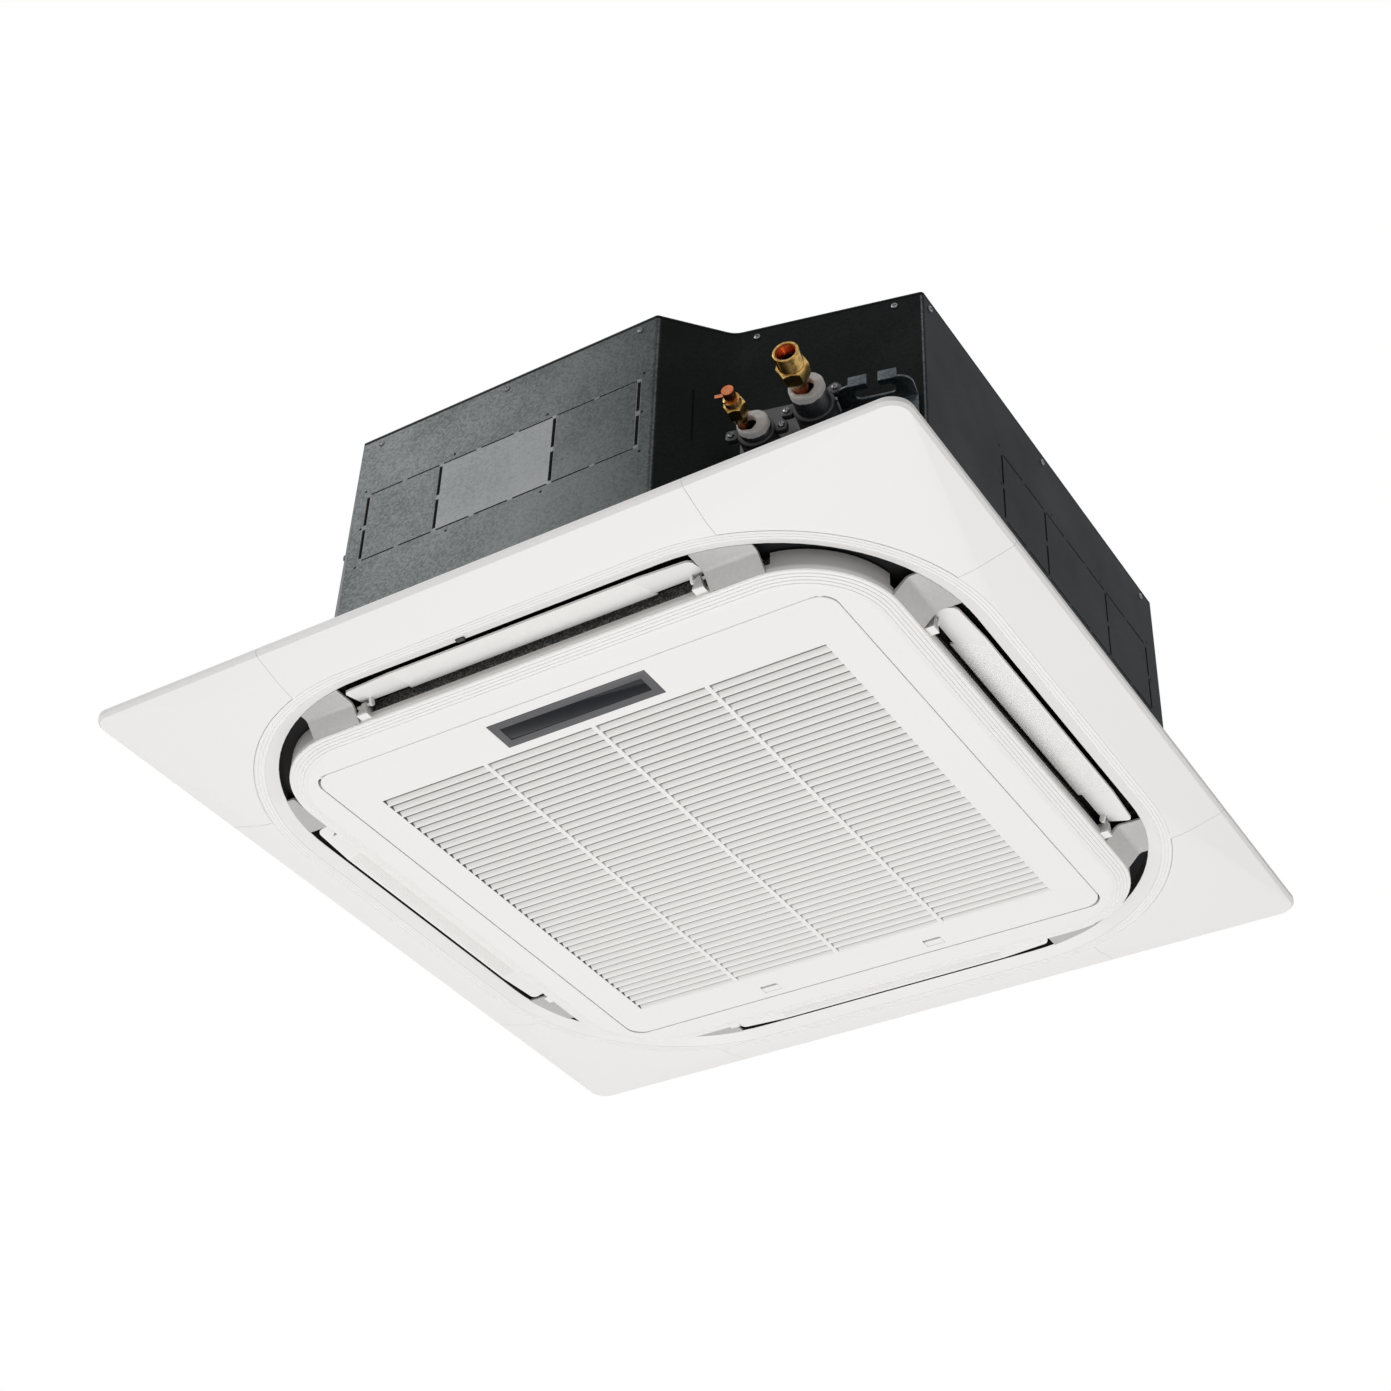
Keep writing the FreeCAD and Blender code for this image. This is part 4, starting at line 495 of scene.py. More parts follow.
# Cabinet screws: plated pan-head screws with a cross recess, driven through the wrap into the
# lid's flange. They sit 12 mm under the top edge, and each is turned to its own angle.
SCREW_LEVEL = 0.288
SCREW_RADIUS = 0.0036
SCREW_HEIGHT = 0.002
SCREW_RECESS = 0.0011
SCREW_STEPS = 24
HEAD_PROFILE = (
    (0.0, 0.0), (1.0, 0.0), (1.0, 0.3), (0.9, 0.62), (0.56, 0.9), (0.22, 1.0), (0.0, 1.0),
)
CROSS_CORE = 0.22
CROSS_REACH = 0.56
CROSS_LEVEL = 0.7
CROSS_ARM = 180.0 / SCREW_STEPS * 1.05
FIRST_TURN = 25.0
TURN_EACH = 37.0
TURN_BY_WALL = 61.0
NOTCH_SLANT = math.degrees(math.atan2(0.044, 0.191))
WALLS = {
    "front": (0.0, -CABINET_HALF, 0.0),
    "right": (CABINET_HALF, 0.0, 90.0),
    "back": (0.0, CABINET_HALF, 180.0),
    "left": (-CABINET_HALF, 0.0, 270.0),
    "notch": (0.229, -0.358, NOTCH_SLANT),
    "front_left": (-0.329, -0.291, 315.0),
    "back_right": (0.353, 0.315, 135.0),
    "back_left": (-0.353, 0.315, 225.0),
}
SCREW_ROWS = {
    "front": (-0.175, -0.010, 0.155),
    "right": (-0.299, -0.041, 0.217),
    "back": (-0.165, 0.0, 0.165),
    "left": (-0.129, 0.0, 0.129),
    "notch": (0.024, 0.167),
    "front_left": (0.0,),
    "back_right": (0.0,),
    "back_left": (0.0,),
}
SCREW_DARK = (0.025, 0.026, 0.028)
SCREW_LIGHT = (0.30, 0.30, 0.31)
SCREW_ROUGH = 0.24
SCREW_SPECKLE = 900.0
METAL_RELIEF = 0.0002


def wall_frame(wall):
    """A cabinet wall's own frame: +X along it, -Y straight out from it, +Z up."""
    x, y, degrees = WALLS[wall]
    return Matrix.Translation((x, y, 0)) @ Matrix.Rotation(math.radians(degrees), 4, "Z")


def out_of(wall, along, level, proud=0.0):
    """A place on a wall whose +Z stands straight out from it."""
    stand = Matrix.Rotation(math.radians(90.0), 4, "X")
    return wall_frame(wall) @ Matrix.Translation((along, -proud, level)) @ stand


def spin_profile(shape, profile, steps):
    """Spins a line of radius and height about Z, right round."""
    verts = [shape.verts.new((radius, 0.0, height)) for radius, height in profile]
    edges = [shape.edges.new(ends) for ends in zip(verts, verts[1:])]
    bmesh.ops.spin(
        shape, geom=verts + edges, cent=(0, 0, 0), axis=(0, 0, 1), angle=math.tau, steps=steps,
        use_merge=True,
    )
    bmesh.ops.remove_doubles(shape, verts=shape.verts, dist=HAIR)
    bmesh.ops.recalc_face_normals(shape, faces=shape.faces)


def pan_head(radius, height, recess):
    """A domed head that stands on Z, with a cross sunk into its top."""
    shape = bmesh.new()
    spin_profile(shape, [(radius * out, height * up) for out, up in HEAD_PROFILE], SCREW_STEPS)
    cross = []
    for face in shape.faces:
        middle = face.calc_center_median()
        reach = middle.to_2d().length
        turn = math.degrees(math.atan2(middle.y, middle.x)) % 90.0
        on_arm = min(turn, 90.0 - turn) < CROSS_ARM and reach < radius * CROSS_REACH
        if middle.z > height * CROSS_LEVEL and (on_arm or reach < radius * CROSS_CORE):
            cross.append(face)
    sunk = bmesh.ops.extrude_face_region(shape, geom=cross)["geom"]
    bmesh.ops.translate(shape, verts=only(bmesh.types.BMVert, sunk), vec=(0, 0, -recess))
    bmesh.ops.delete(shape, geom=cross, context="FACES")
    bmesh.ops.recalc_face_normals(shape, faces=shape.faces)
    return mesh_from("pan_head", shape)


def add_copy(shape, mesh, place):
    """Adds a copy of a mesh to a shape, set in place by a matrix."""
    earlier = set(shape.verts)
    shape.from_mesh(mesh)
    added = [vert for vert in shape.verts if vert not in earlier]
    bmesh.ops.transform(shape, matrix=place, verts=added)


def bright_metal(name, dark, light, rough, scale):
    """Plated or drawn metal, with slight stains in its colour and its gloss."""
    material, tree, shader, place = blank_material(name)
    speckle, cloud = patterned(tree, zinc_spangle, place, scale)
    stain = rising(tree, mixed(tree, 0.6, speckle, cloud), 0.2, 0.8)
    colour = two_tone(tree, dark, light, stain)
    dress(tree, shader, colour, between(tree, stain, rough + 0.1, rough - 0.06))
    shader.inputs["Metallic"].default_value = 1.0
    roughen(tree, shader, speckle, 0.05, METAL_RELIEF)
    return material


screw_steel = bright_metal("screw_steel", SCREW_DARK, SCREW_LIGHT, SCREW_ROUGH, SCREW_SPECKLE)
screw_head = pan_head(SCREW_RADIUS, SCREW_HEIGHT, SCREW_RECESS)
screws = bmesh.new()
for wall, spots in SCREW_ROWS.items():
    for count, along in enumerate(spots):
        degrees = FIRST_TURN + TURN_EACH * count + TURN_BY_WALL * len(wall)
        own_turn = Matrix.Rotation(math.radians(degrees), 4, "Z")
        add_copy(screws, screw_head, out_of(wall, along, SCREW_LEVEL) @ own_turn)
screw_heads = make_piece("cabinet_screw_heads", screws, screw_steel)
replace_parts(screw_heads, "cabinet_screws")

# Foam liner and drain pan: pressed bead foam, pale on the walls, with near-black painted shade
# where the liner meets the steel, so the knock-out slits show dark. The pan is dyed dark, stands in
# the wrap's lower edge and carries the liner.
LINER_TONES = ((0.52, 0.52, 0.51), (0.68, 0.68, 0.67))
PAN_TONES = ((0.010, 0.010, 0.011), (0.035, 0.035, 0.036))
# Painted shade, near black, on the liner close behind the walls, so the knock-out slits show dark.
PAINTED_SLOT_SHADE = (0.006, 0.006, 0.006)
SLOT_SHADE_REACH = 0.005
NOTCH_CHEEK = (0.1995, -0.389, 46.4)
BEAD_SCALE = 260.0
FOAM_ROUGH = (0.8, 0.95)
FOAM_SPECULAR = 0.1
FOAM_RELIEF = 0.0012


def distance_along(tree, place, way):
    """How far a place lies along one direction."""
    ends = {0: place, 1: way}
    return node(tree, "VectorMath", ends, operation="DOT_PRODUCT").outputs["Value"]


def painted_slot_shade_mask(tree, place):
    """Close behind any of the cabinet's walls."""
    masks = []
    for wall_x, wall_y, degrees in list(WALLS.values()) + [NOTCH_CHEEK]:
        facing = (math.sin(math.radians(degrees)), -math.cos(math.radians(degrees)), 0.0)
        wall_out = wall_x * facing[0] + wall_y * facing[1]
        out = distance_along(tree, place, facing)
        masks.append(rising(tree, out, wall_out - SLOT_SHADE_REACH, wall_out - SLOT_SHADE_REACH * 0.8))
    return either(tree, *masks)


def bead_foam(name, tones, scale, dark_band=False):
    """Foam pressed from beads: rounded cells with darker joints."""
    material, tree, shader, place = blank_material(name)
    beads = node(tree, "TexVoronoi", {"Vector": place, "Scale": scale}).outputs["Distance"]
    slow = {"Vector": place, "Scale": scale * 0.1, "Detail": 3.0}
    drift = node(tree, "TexNoise", slow).outputs["Fac"]
    joints = rising(tree, beads, 0.75, 0.2)
    colour = two_tone(tree, tones[0], tones[1], mixed(tree, 0.4, joints, drift))
    # Painted shade where asked: near black close behind the cabinet's walls.
    if dark_band:
        colour = two_tone(tree, colour, PAINTED_SLOT_SHADE, painted_slot_shade_mask(tree, place))
    dress(tree, shader, colour, between(tree, drift, *FOAM_ROUGH))
    shader.inputs["Specular IOR Level"].default_value = FOAM_SPECULAR
    roughen(tree, shader, joints, 0.5, FOAM_RELIEF)
    return material


coat(bead_foam("liner_foam", LINER_TONES, BEAD_SCALE, dark_band=True), "cabinet_liner")
coat(bead_foam("pan_foam", PAN_TONES, BEAD_SCALE), "drain_pan")

# Heat exchanger: thin aluminium fins pressed on copper hairpins, bent square round the fan.
# Its header tubes are drawn copper, brazed to the two pipe stubs.
FIN_TONES = ((0.30, 0.31, 0.32), (0.66, 0.67, 0.68))
FIN_PITCH = 0.0018
FIN_ROUGH = (0.6, 0.35)
FIN_SHINE = 0.9
FIN_RELIEF = 0.0008
COPPER_DARK = (0.30, 0.075, 0.030)
COPPER_LIGHT = (0.72, 0.27, 0.13)
COPPER_ROUGH = 0.24
COPPER_SPECKLE = 260.0


def stripes(tree, value, pitch):
    """A wave that repeats with a pitch, from minus one to one."""
    return worked(tree, "SINE", worked(tree, "MULTIPLY", value, math.tau / pitch))


def fin_metal():
    material, tree, shader, place = blank_material("fin_metal")
    x, y = axes(tree, place)[:2]
    fins = rising(tree, stripes(tree, worked(tree, "ADD", x, y), FIN_PITCH), -0.6, 0.4)
    colour = two_tone(tree, FIN_TONES[0], FIN_TONES[1], fins)
    dress(tree, shader, colour, between(tree, fins, *FIN_ROUGH))
    shader.inputs["Metallic"].default_value = FIN_SHINE
    roughen(tree, shader, fins, 0.6, FIN_RELIEF)
    return material


coat(fin_metal(), "heat_exchanger")
drawn_copper = bright_metal(
    "drawn_copper", COPPER_DARK, COPPER_LIGHT, COPPER_ROUGH, COPPER_SPECKLE
)
coat(drawn_copper, "coil_headers", "gas_pipe", "liquid_pipe", "liquid_pipe_cap")

# Fan, motor, bell mouth, pump and louvre motors: black mouldings, hung from the lid or stood on the
# pan. The wheel's shaft and nut are plated steel.
WORKS_TONES = ((0.007, 0.007, 0.008), (0.020, 0.020, 0.022))
WORKS_ROUGH = 0.45
DRAIN_TONES = ((0.20, 0.21, 0.22), (0.30, 0.31, 0.32))
DRAIN_ROUGH = 0.5
WORKS_GRAIN = 700.0
WORKS_RELIEF = 0.0003
WAVE_SCALE = 3.0


def grain_group():
    """A moulding's spark grain, with slow waves of tone across the piece."""
    group, start, end = new_pattern("spark_grain", "Grain Scale", ("Grain", "Wave"))
    fine = {"Vector": start["Place"], "Scale": start["Grain Scale"], "Detail": 2.0}
    slow = {"Vector": start["Place"], "Scale": WAVE_SCALE, "Detail": 2.0}
    group.links.new(node(group, "TexNoise", fine).outputs["Fac"], end["Grain"])
    group.links.new(node(group, "TexNoise", slow).outputs["Fac"], end["Wave"])
    return group


spark_grain = grain_group()


def moulding(name, tones, rough, scale, depth):
    """Moulded plastic with a spark grain."""
    material, tree, shader, place = blank_material(name)
    grain, wave = patterned(tree, spark_grain, place, scale)
    colour = two_tone(tree, tones[0], tones[1], mixed(tree, 0.5, grain, wave))
    dress(tree, shader, colour, between(tree, wave, rough - 0.04, rough + 0.04))
    roughen(tree, shader, grain, 0.08, depth)
    return material


works_black = moulding("works_black", WORKS_TONES, WORKS_ROUGH, WORKS_GRAIN, WORKS_RELIEF)
coat(works_black, "fan_wheel", "fan_motor", "motor_mounts", "bell_mouth")
coat(works_black, "drain_pump", "terminal_block", "louvre_motor_front", "louvre_motor_right")
coat(works_black, "louvre_motor_back", "louvre_motor_left")
coat(screw_steel, "motor_shaft", "fan_nut")
drain_grey = moulding("drain_grey", DRAIN_TONES, DRAIN_ROUGH, WORKS_GRAIN, WORKS_RELIEF)
coat(drain_grey, "drain_outlet")

# Control box: a folded box of zinc-coated sheet under the bell mouth's flange, with a flat cover
# held by four pan-head screws.
BOX_DARK = (0.16, 0.17, 0.18)
BOX_LIGHT = (0.36, 0.37, 0.38)
BOX_ROUGH = 0.4
BOX_SPECKLE = 420.0
COVER_SCREW_INSET = 0.008

box_zinc = bright_metal("box_zinc", BOX_DARK, BOX_LIGHT, BOX_ROUGH, BOX_SPECKLE)
coat(box_zinc, "control_box", "control_box_cover")
cover_low, cover_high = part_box("control_box_cover")
cover_screws = bmesh.new()
facing_down = Matrix.Rotation(math.pi, 4, "X")
for x in (cover_low[0] + COVER_SCREW_INSET, cover_high[0] - COVER_SCREW_INSET):
    for y in (cover_low[1] + COVER_SCREW_INSET, cover_high[1] - COVER_SCREW_INSET):
        spot = Matrix.Translation((x, y, cover_low[2]))
        add_copy(cover_screws, screw_head, spot @ facing_down)
make_piece("cover_screw_heads", cover_screws, screw_steel)

# Hanger brackets: plates of dark zinc-coated steel, pressed and bent, with a slot for a ceiling rod
# and two lips that keep the rod's nut in. The press leaves their edges eased and bright.
BRACKET_DARK = (0.035, 0.043, 0.048)
BRACKET_LIGHT = (0.13, 0.15, 0.165)
BRACKET_ROUGH = 0.30
BRACKET_SPECKLE = 380.0
BRACKET_EASE = 0.0007
FLAT_TURN = math.radians(0.5)
SHARP_TURN = math.radians(40.0)


def ease(shape, edges, width, segments=2, clamp=False):
    """Rounds off edges."""
    bmesh.ops.bevel(
        shape, geom=edges, offset=width, affect="EDGES", segments=segments, profile=0.5,
        material=-1, clamp_overlap=clamp,
    )


def eased_copy(name, node_name, width, finish, body="unit"):
    """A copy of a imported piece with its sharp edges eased, which takes that piece's place."""
    shape = packed_copy(node_name)
    bmesh.ops.dissolve_limit(shape, angle_limit=FLAT_TURN, verts=shape.verts, edges=shape.edges)
    sharp = [
        edge for edge in shape.edges
        if edge.is_manifold and edge.calc_face_angle() > SHARP_TURN
    ]
    ease(shape, sharp, width, clamp=True)
    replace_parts(make_piece(name, shape, finish, body), node_name)


bracket_zinc = bright_metal(
    "bracket_zinc", BRACKET_DARK, BRACKET_LIGHT, BRACKET_ROUGH, BRACKET_SPECKLE
)
CORNERS = ("front_right", "front_left", "back_right", "back_left")
for corner in CORNERS:
    eased_copy("bracket_" + corner, "hanger_" + corner, BRACKET_EASE, bracket_zinc)

# Pipe plate: a black moulded plate screwed to the notch's long wall, with a collar for each sleeve.
# A black strap with screwed ears holds each sleeve against its collar.
SLEEVES = {
    "gas": dict(
        along=0.090, level=0.154, radius=0.018, end=0.051, bore=0.0105, bore_shift=-0.0025,
    ),
    "liquid": dict(
        along=0.032, level=0.136, radius=0.016, end=0.037, bore=0.009, bore_shift=-0.005,
    ),
}
STRAP_EARS = {"gas": (180.0, 40.0), "liquid": (178.0, 2.0)}
COLLAR_END = 0.014
STRAP_END = 0.0235
STRAP_WALL = 0.0032
STRAP_EASE = 0.0011
STRAP_ROOM = 0.0001
STRAP_STEPS = 40
EAR_LENGTH = 0.013
EAR_WIDTH = 0.013
EAR_THICKNESS = 0.0065
EAR_ROUND = EAR_WIDTH * 0.3
EAR_ROUND_STEPS = 4
EAR_PLACE = EAR_LENGTH * 0.42
EAR_SCREW_PLACE = EAR_LENGTH * 0.48
EAR_SCREW_RADIUS = 0.0034
EAR_SCREW_HEIGHT = SCREW_HEIGHT * 1.2
PLATE_SCREWS_ALONG = (0.016, 0.061, 0.1055)
PLATE_SCREW_LEVELS = (0.093, 0.175)
PLATE_THICKNESS = 0.002
PLATE_EASE = 0.0006

eased_copy("pipe_plate_moulding", "pipe_plate", PLATE_EASE, works_black)
plate_screws = bmesh.new()
for along in PLATE_SCREWS_ALONG:
    for level in PLATE_SCREW_LEVELS:
        add_copy(plate_screws, screw_head, out_of("notch", along, level, PLATE_THICKNESS))
plate_heads = make_piece("plate_screw_heads", plate_screws, screw_steel)
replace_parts(plate_heads, "pipe_plate_screws")

ear = bmesh.new()
bmesh.ops.create_cube(ear, size=1.0)
bmesh.ops.scale(ear, verts=ear.verts, vec=(EAR_LENGTH, EAR_WIDTH, EAR_THICKNESS))
upright = [
    edge for edge in ear.edges
    if abs(edge.verts[0].co.z - edge.verts[1].co.z) > EAR_THICKNESS / 2
]
ease(ear, upright, EAR_ROUND, EAR_ROUND_STEPS)
rims = [edge for edge in ear.edges if edge.calc_face_angle() > SHARP_TURN]
ease(ear, rims, STRAP_EASE)
ear_mesh = mesh_from("strap_ear", ear)
ear_head = pan_head(EAR_SCREW_RADIUS, EAR_SCREW_HEIGHT, SCREW_RECESS)
ear_level = (COLLAR_END + STRAP_END) / 2
for pipe, sleeve in SLEEVES.items():
    strap = bmesh.new()
    inner = sleeve["radius"] + STRAP_ROOM
    outer = inner + STRAP_WALL
    spin_profile(strap, [
        (inner, COLLAR_END), (outer - STRAP_EASE, COLLAR_END), (outer, COLLAR_END + STRAP_EASE),
        (outer, STRAP_END - STRAP_EASE), (outer - STRAP_EASE, STRAP_END), (inner, STRAP_END),
        (inner, COLLAR_END),
    ], STRAP_STEPS)
    ear_screws = bmesh.new()
    axis = out_of("notch", sleeve["along"], sleeve["level"])
    for degrees in STRAP_EARS[pipe]:
        side = Matrix.Rotation(math.radians(degrees), 4, "Z")
        ear_place = Matrix.Translation((outer + EAR_PLACE, 0, ear_level))
        add_copy(strap, ear_mesh, side @ ear_place)
        head_level = ear_level + EAR_THICKNESS / 2
        head_place = Matrix.Translation((outer + EAR_SCREW_PLACE, 0, head_level))
        add_copy(ear_screws, ear_head, axis @ side @ head_place)
    bmesh.ops.transform(strap, matrix=axis, verts=strap.verts)
    make_piece(pipe + "_strap", strap, works_black)
    make_piece(pipe + "_strap_screws", ear_screws, screw_steel)

# Pipe stubs: copper tubes through the plate, each with a forged brass flare nut. The gas tube's end
# is flared inside its nut; the liquid tube keeps the pinched cap it was shipped with.
BRASS_DARK = (0.13, 0.060, 0.007)
BRASS_LIGHT = (0.70, 0.47, 0.17)
BRASS_ROUGH = 0.22
BRASS_SPECKLE = 240.0
NUT_EASE = 0.0006
GAS_ALONG = 0.085
GAS_LEVEL = 0.154
FLARE_START = 0.0882
FLARE_END = 0.0955
FLARE_RADII = (0.0079, 0.0103)
FLARE_WALL = 0.0007
FLARE_STEPS = 36

forged_brass = bright_metal("forged_brass", BRASS_DARK, BRASS_LIGHT, BRASS_ROUGH, BRASS_SPECKLE)
for pipe in SLEEVES:
    eased_copy(pipe + "_nut", pipe + "_flare_nut", NUT_EASE, forged_brass)
flare = bmesh.new()
spin_profile(flare, [
    (FLARE_RADII[0] - FLARE_WALL, FLARE_START), (FLARE_RADII[0], FLARE_START),
    (FLARE_RADII[1], FLARE_END), (FLARE_RADII[1] - FLARE_WALL, FLARE_END + FLARE_WALL / 2),
    (FLARE_RADII[0] - FLARE_WALL, FLARE_START),
], FLARE_STEPS)
bmesh.ops.transform(flare, matrix=out_of("notch", GAS_ALONG, GAS_LEVEL), verts=flare.verts)
make_piece("gas_flare", flare, drawn_copper)

# Pipe sleeves: soft pale foam tubes pushed over the stubs up to the nuts, cut by hand at the ends.
# They lie off their pipes' middles, and a dark film wraps all but their outer ends.
SLEEVE_TONES = ((0.40, 0.385, 0.375), (0.66, 0.645, 0.63))
SLEEVE_CELLS = 900.0
SLEEVE_DRIFT = 70.0
SLEEVE_ROUGH = (0.6, 0.25)
SLEEVE_RELIEF = 0.0006
SLEEVE_FILM = (0.012, 0.014, 0.017)
SLEEVE_BARE = 0.0085
FILM_WANDER = 0.004
FILM_SOFT = 0.0004
SLEEVE_STEPS = 48
SLEEVE_EASE = 0.0016
SLEEVE_CREASE = 60.0
RAGGED_CUT = 0.0011
RAGGED_SHARE = 0.3


def sleeve_foam(name, film_end):
    """Pale closed-cell foam, under a dark film up to one distance out from the notch's wall."""
    material, tree, shader, place = blank_material(name)
    fine = {"Vector": place, "Scale": SLEEVE_CELLS}
    slow = {"Vector": place, "Scale": SLEEVE_DRIFT, "Detail": 4.0}
    cells = node(tree, "TexVoronoi", fine).outputs["Distance"]
    drift = node(tree, "TexNoise", slow).outputs["Fac"]
    tone = mixed(tree, 0.7, rising(tree, cells, 0.1, 0.8), drift)
    wall = wall_frame("notch")
    facing = wall.to_3x3() @ Vector((0, -1, 0))
    wander = between(tree, drift, -FILM_WANDER, FILM_WANDER)
    out = worked(tree, "ADD", distance_along(tree, place, facing), wander)
    edge = facing.dot(wall.translation) + film_end
    dark_band = rising(tree, out, edge + FILM_SOFT, edge - FILM_SOFT)
    foam = two_tone(tree, SLEEVE_TONES[0], SLEEVE_TONES[1], tone)
    colour = two_tone(tree, foam, SLEEVE_FILM, dark_band)
    dress(tree, shader, colour, between(tree, dark_band, *SLEEVE_ROUGH))
    roughen(tree, shader, cells, 0.25, SLEEVE_RELIEF)
    return material


for pipe, sleeve in SLEEVES.items():
    radius, end = sleeve["radius"], sleeve["end"]
    bore, bore_shift = sleeve["bore"], sleeve["bore_shift"]
    pale_foam = sleeve_foam(pipe + "_sleeve_foam", end - SLEEVE_BARE)
    tube = bmesh.new()
    rings = (
        (radius, 0.0, PLATE_THICKNESS),
        (radius, 0.0, end - SLEEVE_EASE),
        (radius - SLEEVE_EASE, 0.0, end),
        (bore + SLEEVE_EASE * 0.5, bore_shift, end - SLEEVE_EASE * 0.3),
        (bore, bore_shift, end - SLEEVE_EASE * 1.5),
        (bore, bore_shift, PLATE_THICKNESS),
    )
    loops = []
    for ring_radius, shift, height in rings:
        loop = bmesh.ops.create_circle(
            tube, cap_ends=False, segments=SLEEVE_STEPS, radius=ring_radius
        )["verts"]
        for vert in loop:
            angle = math.atan2(vert.co.y, vert.co.x)
            ragged = RAGGED_CUT * (math.sin(3 * angle + 1.0) + 0.6 * math.sin(7 * angle)) / 2
            at_end = max(0.0, (height - end * (1 - RAGGED_SHARE)) / (end * RAGGED_SHARE))
            vert.co += Vector((shift, 0.0, height - (RAGGED_CUT - ragged) * at_end))
        loops.append({edge for vert in loop for edge in vert.link_edges})
    for first, second in zip(loops, loops[1:] + loops[:1]):
        bmesh.ops.bridge_loops(tube, edges=list(first | second))
    bmesh.ops.recalc_face_normals(tube, faces=tube.faces)
    axis = out_of("notch", sleeve["along"], sleeve["level"])
    bmesh.ops.transform(tube, matrix=axis, verts=tube.verts)
    made = make_piece(pipe + "_sleeve", tube, pale_foam, crease=SLEEVE_CREASE)
    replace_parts(made, pipe + "_pipe_sleeve")

# Panel seal: a strip of soft black foam pressed between the panel frame's inner wall and the
# cabinet's lower edge, square in section with crushed corners.
RING_CORE = 0.180
SEAL_INNER = 0.219
SEAL_OUTER = 0.224
SEAL_LOW = -0.001
SEAL_HIGH = 0.003
SEAL_EASE = 0.0009
SEAL_TONES = ((0.008, 0.008, 0.009), (0.030, 0.030, 0.032))
SEAL_CELLS = 900.0
ARC_STEPS = 24

seal = bmesh.new()
sweep_square(seal, [
    (SEAL_INNER, SEAL_LOW), (SEAL_OUTER, SEAL_LOW), (SEAL_OUTER, SEAL_HIGH - SEAL_EASE),
    (SEAL_OUTER - SEAL_EASE, SEAL_HIGH), (SEAL_INNER + SEAL_EASE, SEAL_HIGH),
    (SEAL_INNER, SEAL_HIGH - SEAL_EASE),
], RING_CORE, ARC_STEPS)
seal_foam = bead_foam("seal_foam", SEAL_TONES, SEAL_CELLS)
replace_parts(make_piece("panel_seal_strip", seal, seal_foam), "panel_seal")

# Panel frame and corner covers: white mouldings with a very fine grain. Four thin ridges run round
# the opening, the decks inside it are lined with black foam, with painted shade greying the white
# duct wall on the front straight, and one black clip sits on its lip.
PANEL_TONES = ((0.790, 0.775, 0.765), (0.835, 0.820, 0.808))
PANEL_ROUGH = 0.42
PANEL_GRAIN = 1500.0
PANEL_RELIEF = 0.0002
LINING = (0.006, 0.006, 0.007)
# Painted shade: grey for the white duct wall on the front straight.
FRONT_DUCT_SHADE = (0.20, 0.19, 0.18)
FRONT_DUCT_SHADE_HALF = 0.150
FRONT_DUCT_SHADE_SOFT = 0.02
FRONT_DUCT_SHADE_FROM = -0.30
LINING_OUT = 0.2218
LINING_LEVEL = -0.0150
PANEL_FACE = -0.022
RIDGES_OUT = (0.2434, 0.2398, 0.2362, 0.2326)
RIDGE_HALF = 0.0006
RIDGE_HEIGHT = 0.0006
RIDGE_CREASE = 70.0
CLIP_PLACE = (-0.0475, -0.4050, -0.0196)
CLIP_SIZE = (0.010, 0.005, 0.0035)
CLIP_EASE = CLIP_SIZE[2] * 0.25
CLIP_EASE_STEPS = 3
HARD_EDGE = 0.0004
WALL_FADE = 0.0006


def distance_group():
    """How far out from a square core, in plan: its level lines are round-cornered squares."""
    group, start, end = new_pattern("square_distance", "Core Half", ("Distance",))
    past = []
    for axis in axes(group, start["Place"])[:2]:
        past.append(worked(group, "SUBTRACT", worked(group, "ABSOLUTE", axis), start["Core Half"]))
    outer = [worked(group, "MAXIMUM", value, 0.0) for value in past]
    corner = node(group, "CombineXYZ", dict(enumerate(outer))).outputs[0]
    length = node(group, "VectorMath", {0: corner}, operation="LENGTH").outputs["Value"]
    inner = worked(group, "MINIMUM", worked(group, "MAXIMUM", *past), 0.0)
    group.links.new(worked(group, "ADD", length, inner), end["Distance"])
    return group


square_distance = distance_group()


def masked_moulding(name, mask_and_colour):
    """White moulding, darker where the mask says: a black lining on the panel frame, painted shade
    on the island and the grille.
    """
    material, tree, shader, place = blank_material(name)
    grain, wave = patterned(tree, spark_grain, place, PANEL_GRAIN)
    white = two_tone(tree, PANEL_TONES[0], PANEL_TONES[1], mixed(tree, 0.5, grain, wave))
    mask, mask_colour = mask_and_colour(tree, place)
    gloss = between(tree, wave, PANEL_ROUGH - 0.04, PANEL_ROUGH + 0.04)
    dress(tree, shader, two_tone(tree, white, mask_colour, mask), either(tree, gloss, mask))
    roughen(tree, shader, grain, 0.08, PANEL_RELIEF)
    return material


def lining_and_duct_shade(tree, place):
    x, y, z = axes(tree, place)
    out = patterned(tree, square_distance, place, RING_CORE)["Distance"]
    within = rising(tree, out, LINING_OUT + HARD_EDGE, LINING_OUT)
    # Painted shade: on the front straight the lined wall turns grey, standing for the white duct
    # wall in shade.
    front = both(
        tree, inside(tree, x, -FRONT_DUCT_SHADE_HALF, FRONT_DUCT_SHADE_HALF, FRONT_DUCT_SHADE_SOFT),
        rising(tree, y, FRONT_DUCT_SHADE_FROM, FRONT_DUCT_SHADE_FROM - FRONT_DUCT_SHADE_SOFT),
    )
    above = rising(tree, z, LINING_LEVEL, LINING_LEVEL + WALL_FADE)
    return both(tree, within, above), two_tone(tree, LINING, FRONT_DUCT_SHADE, front)


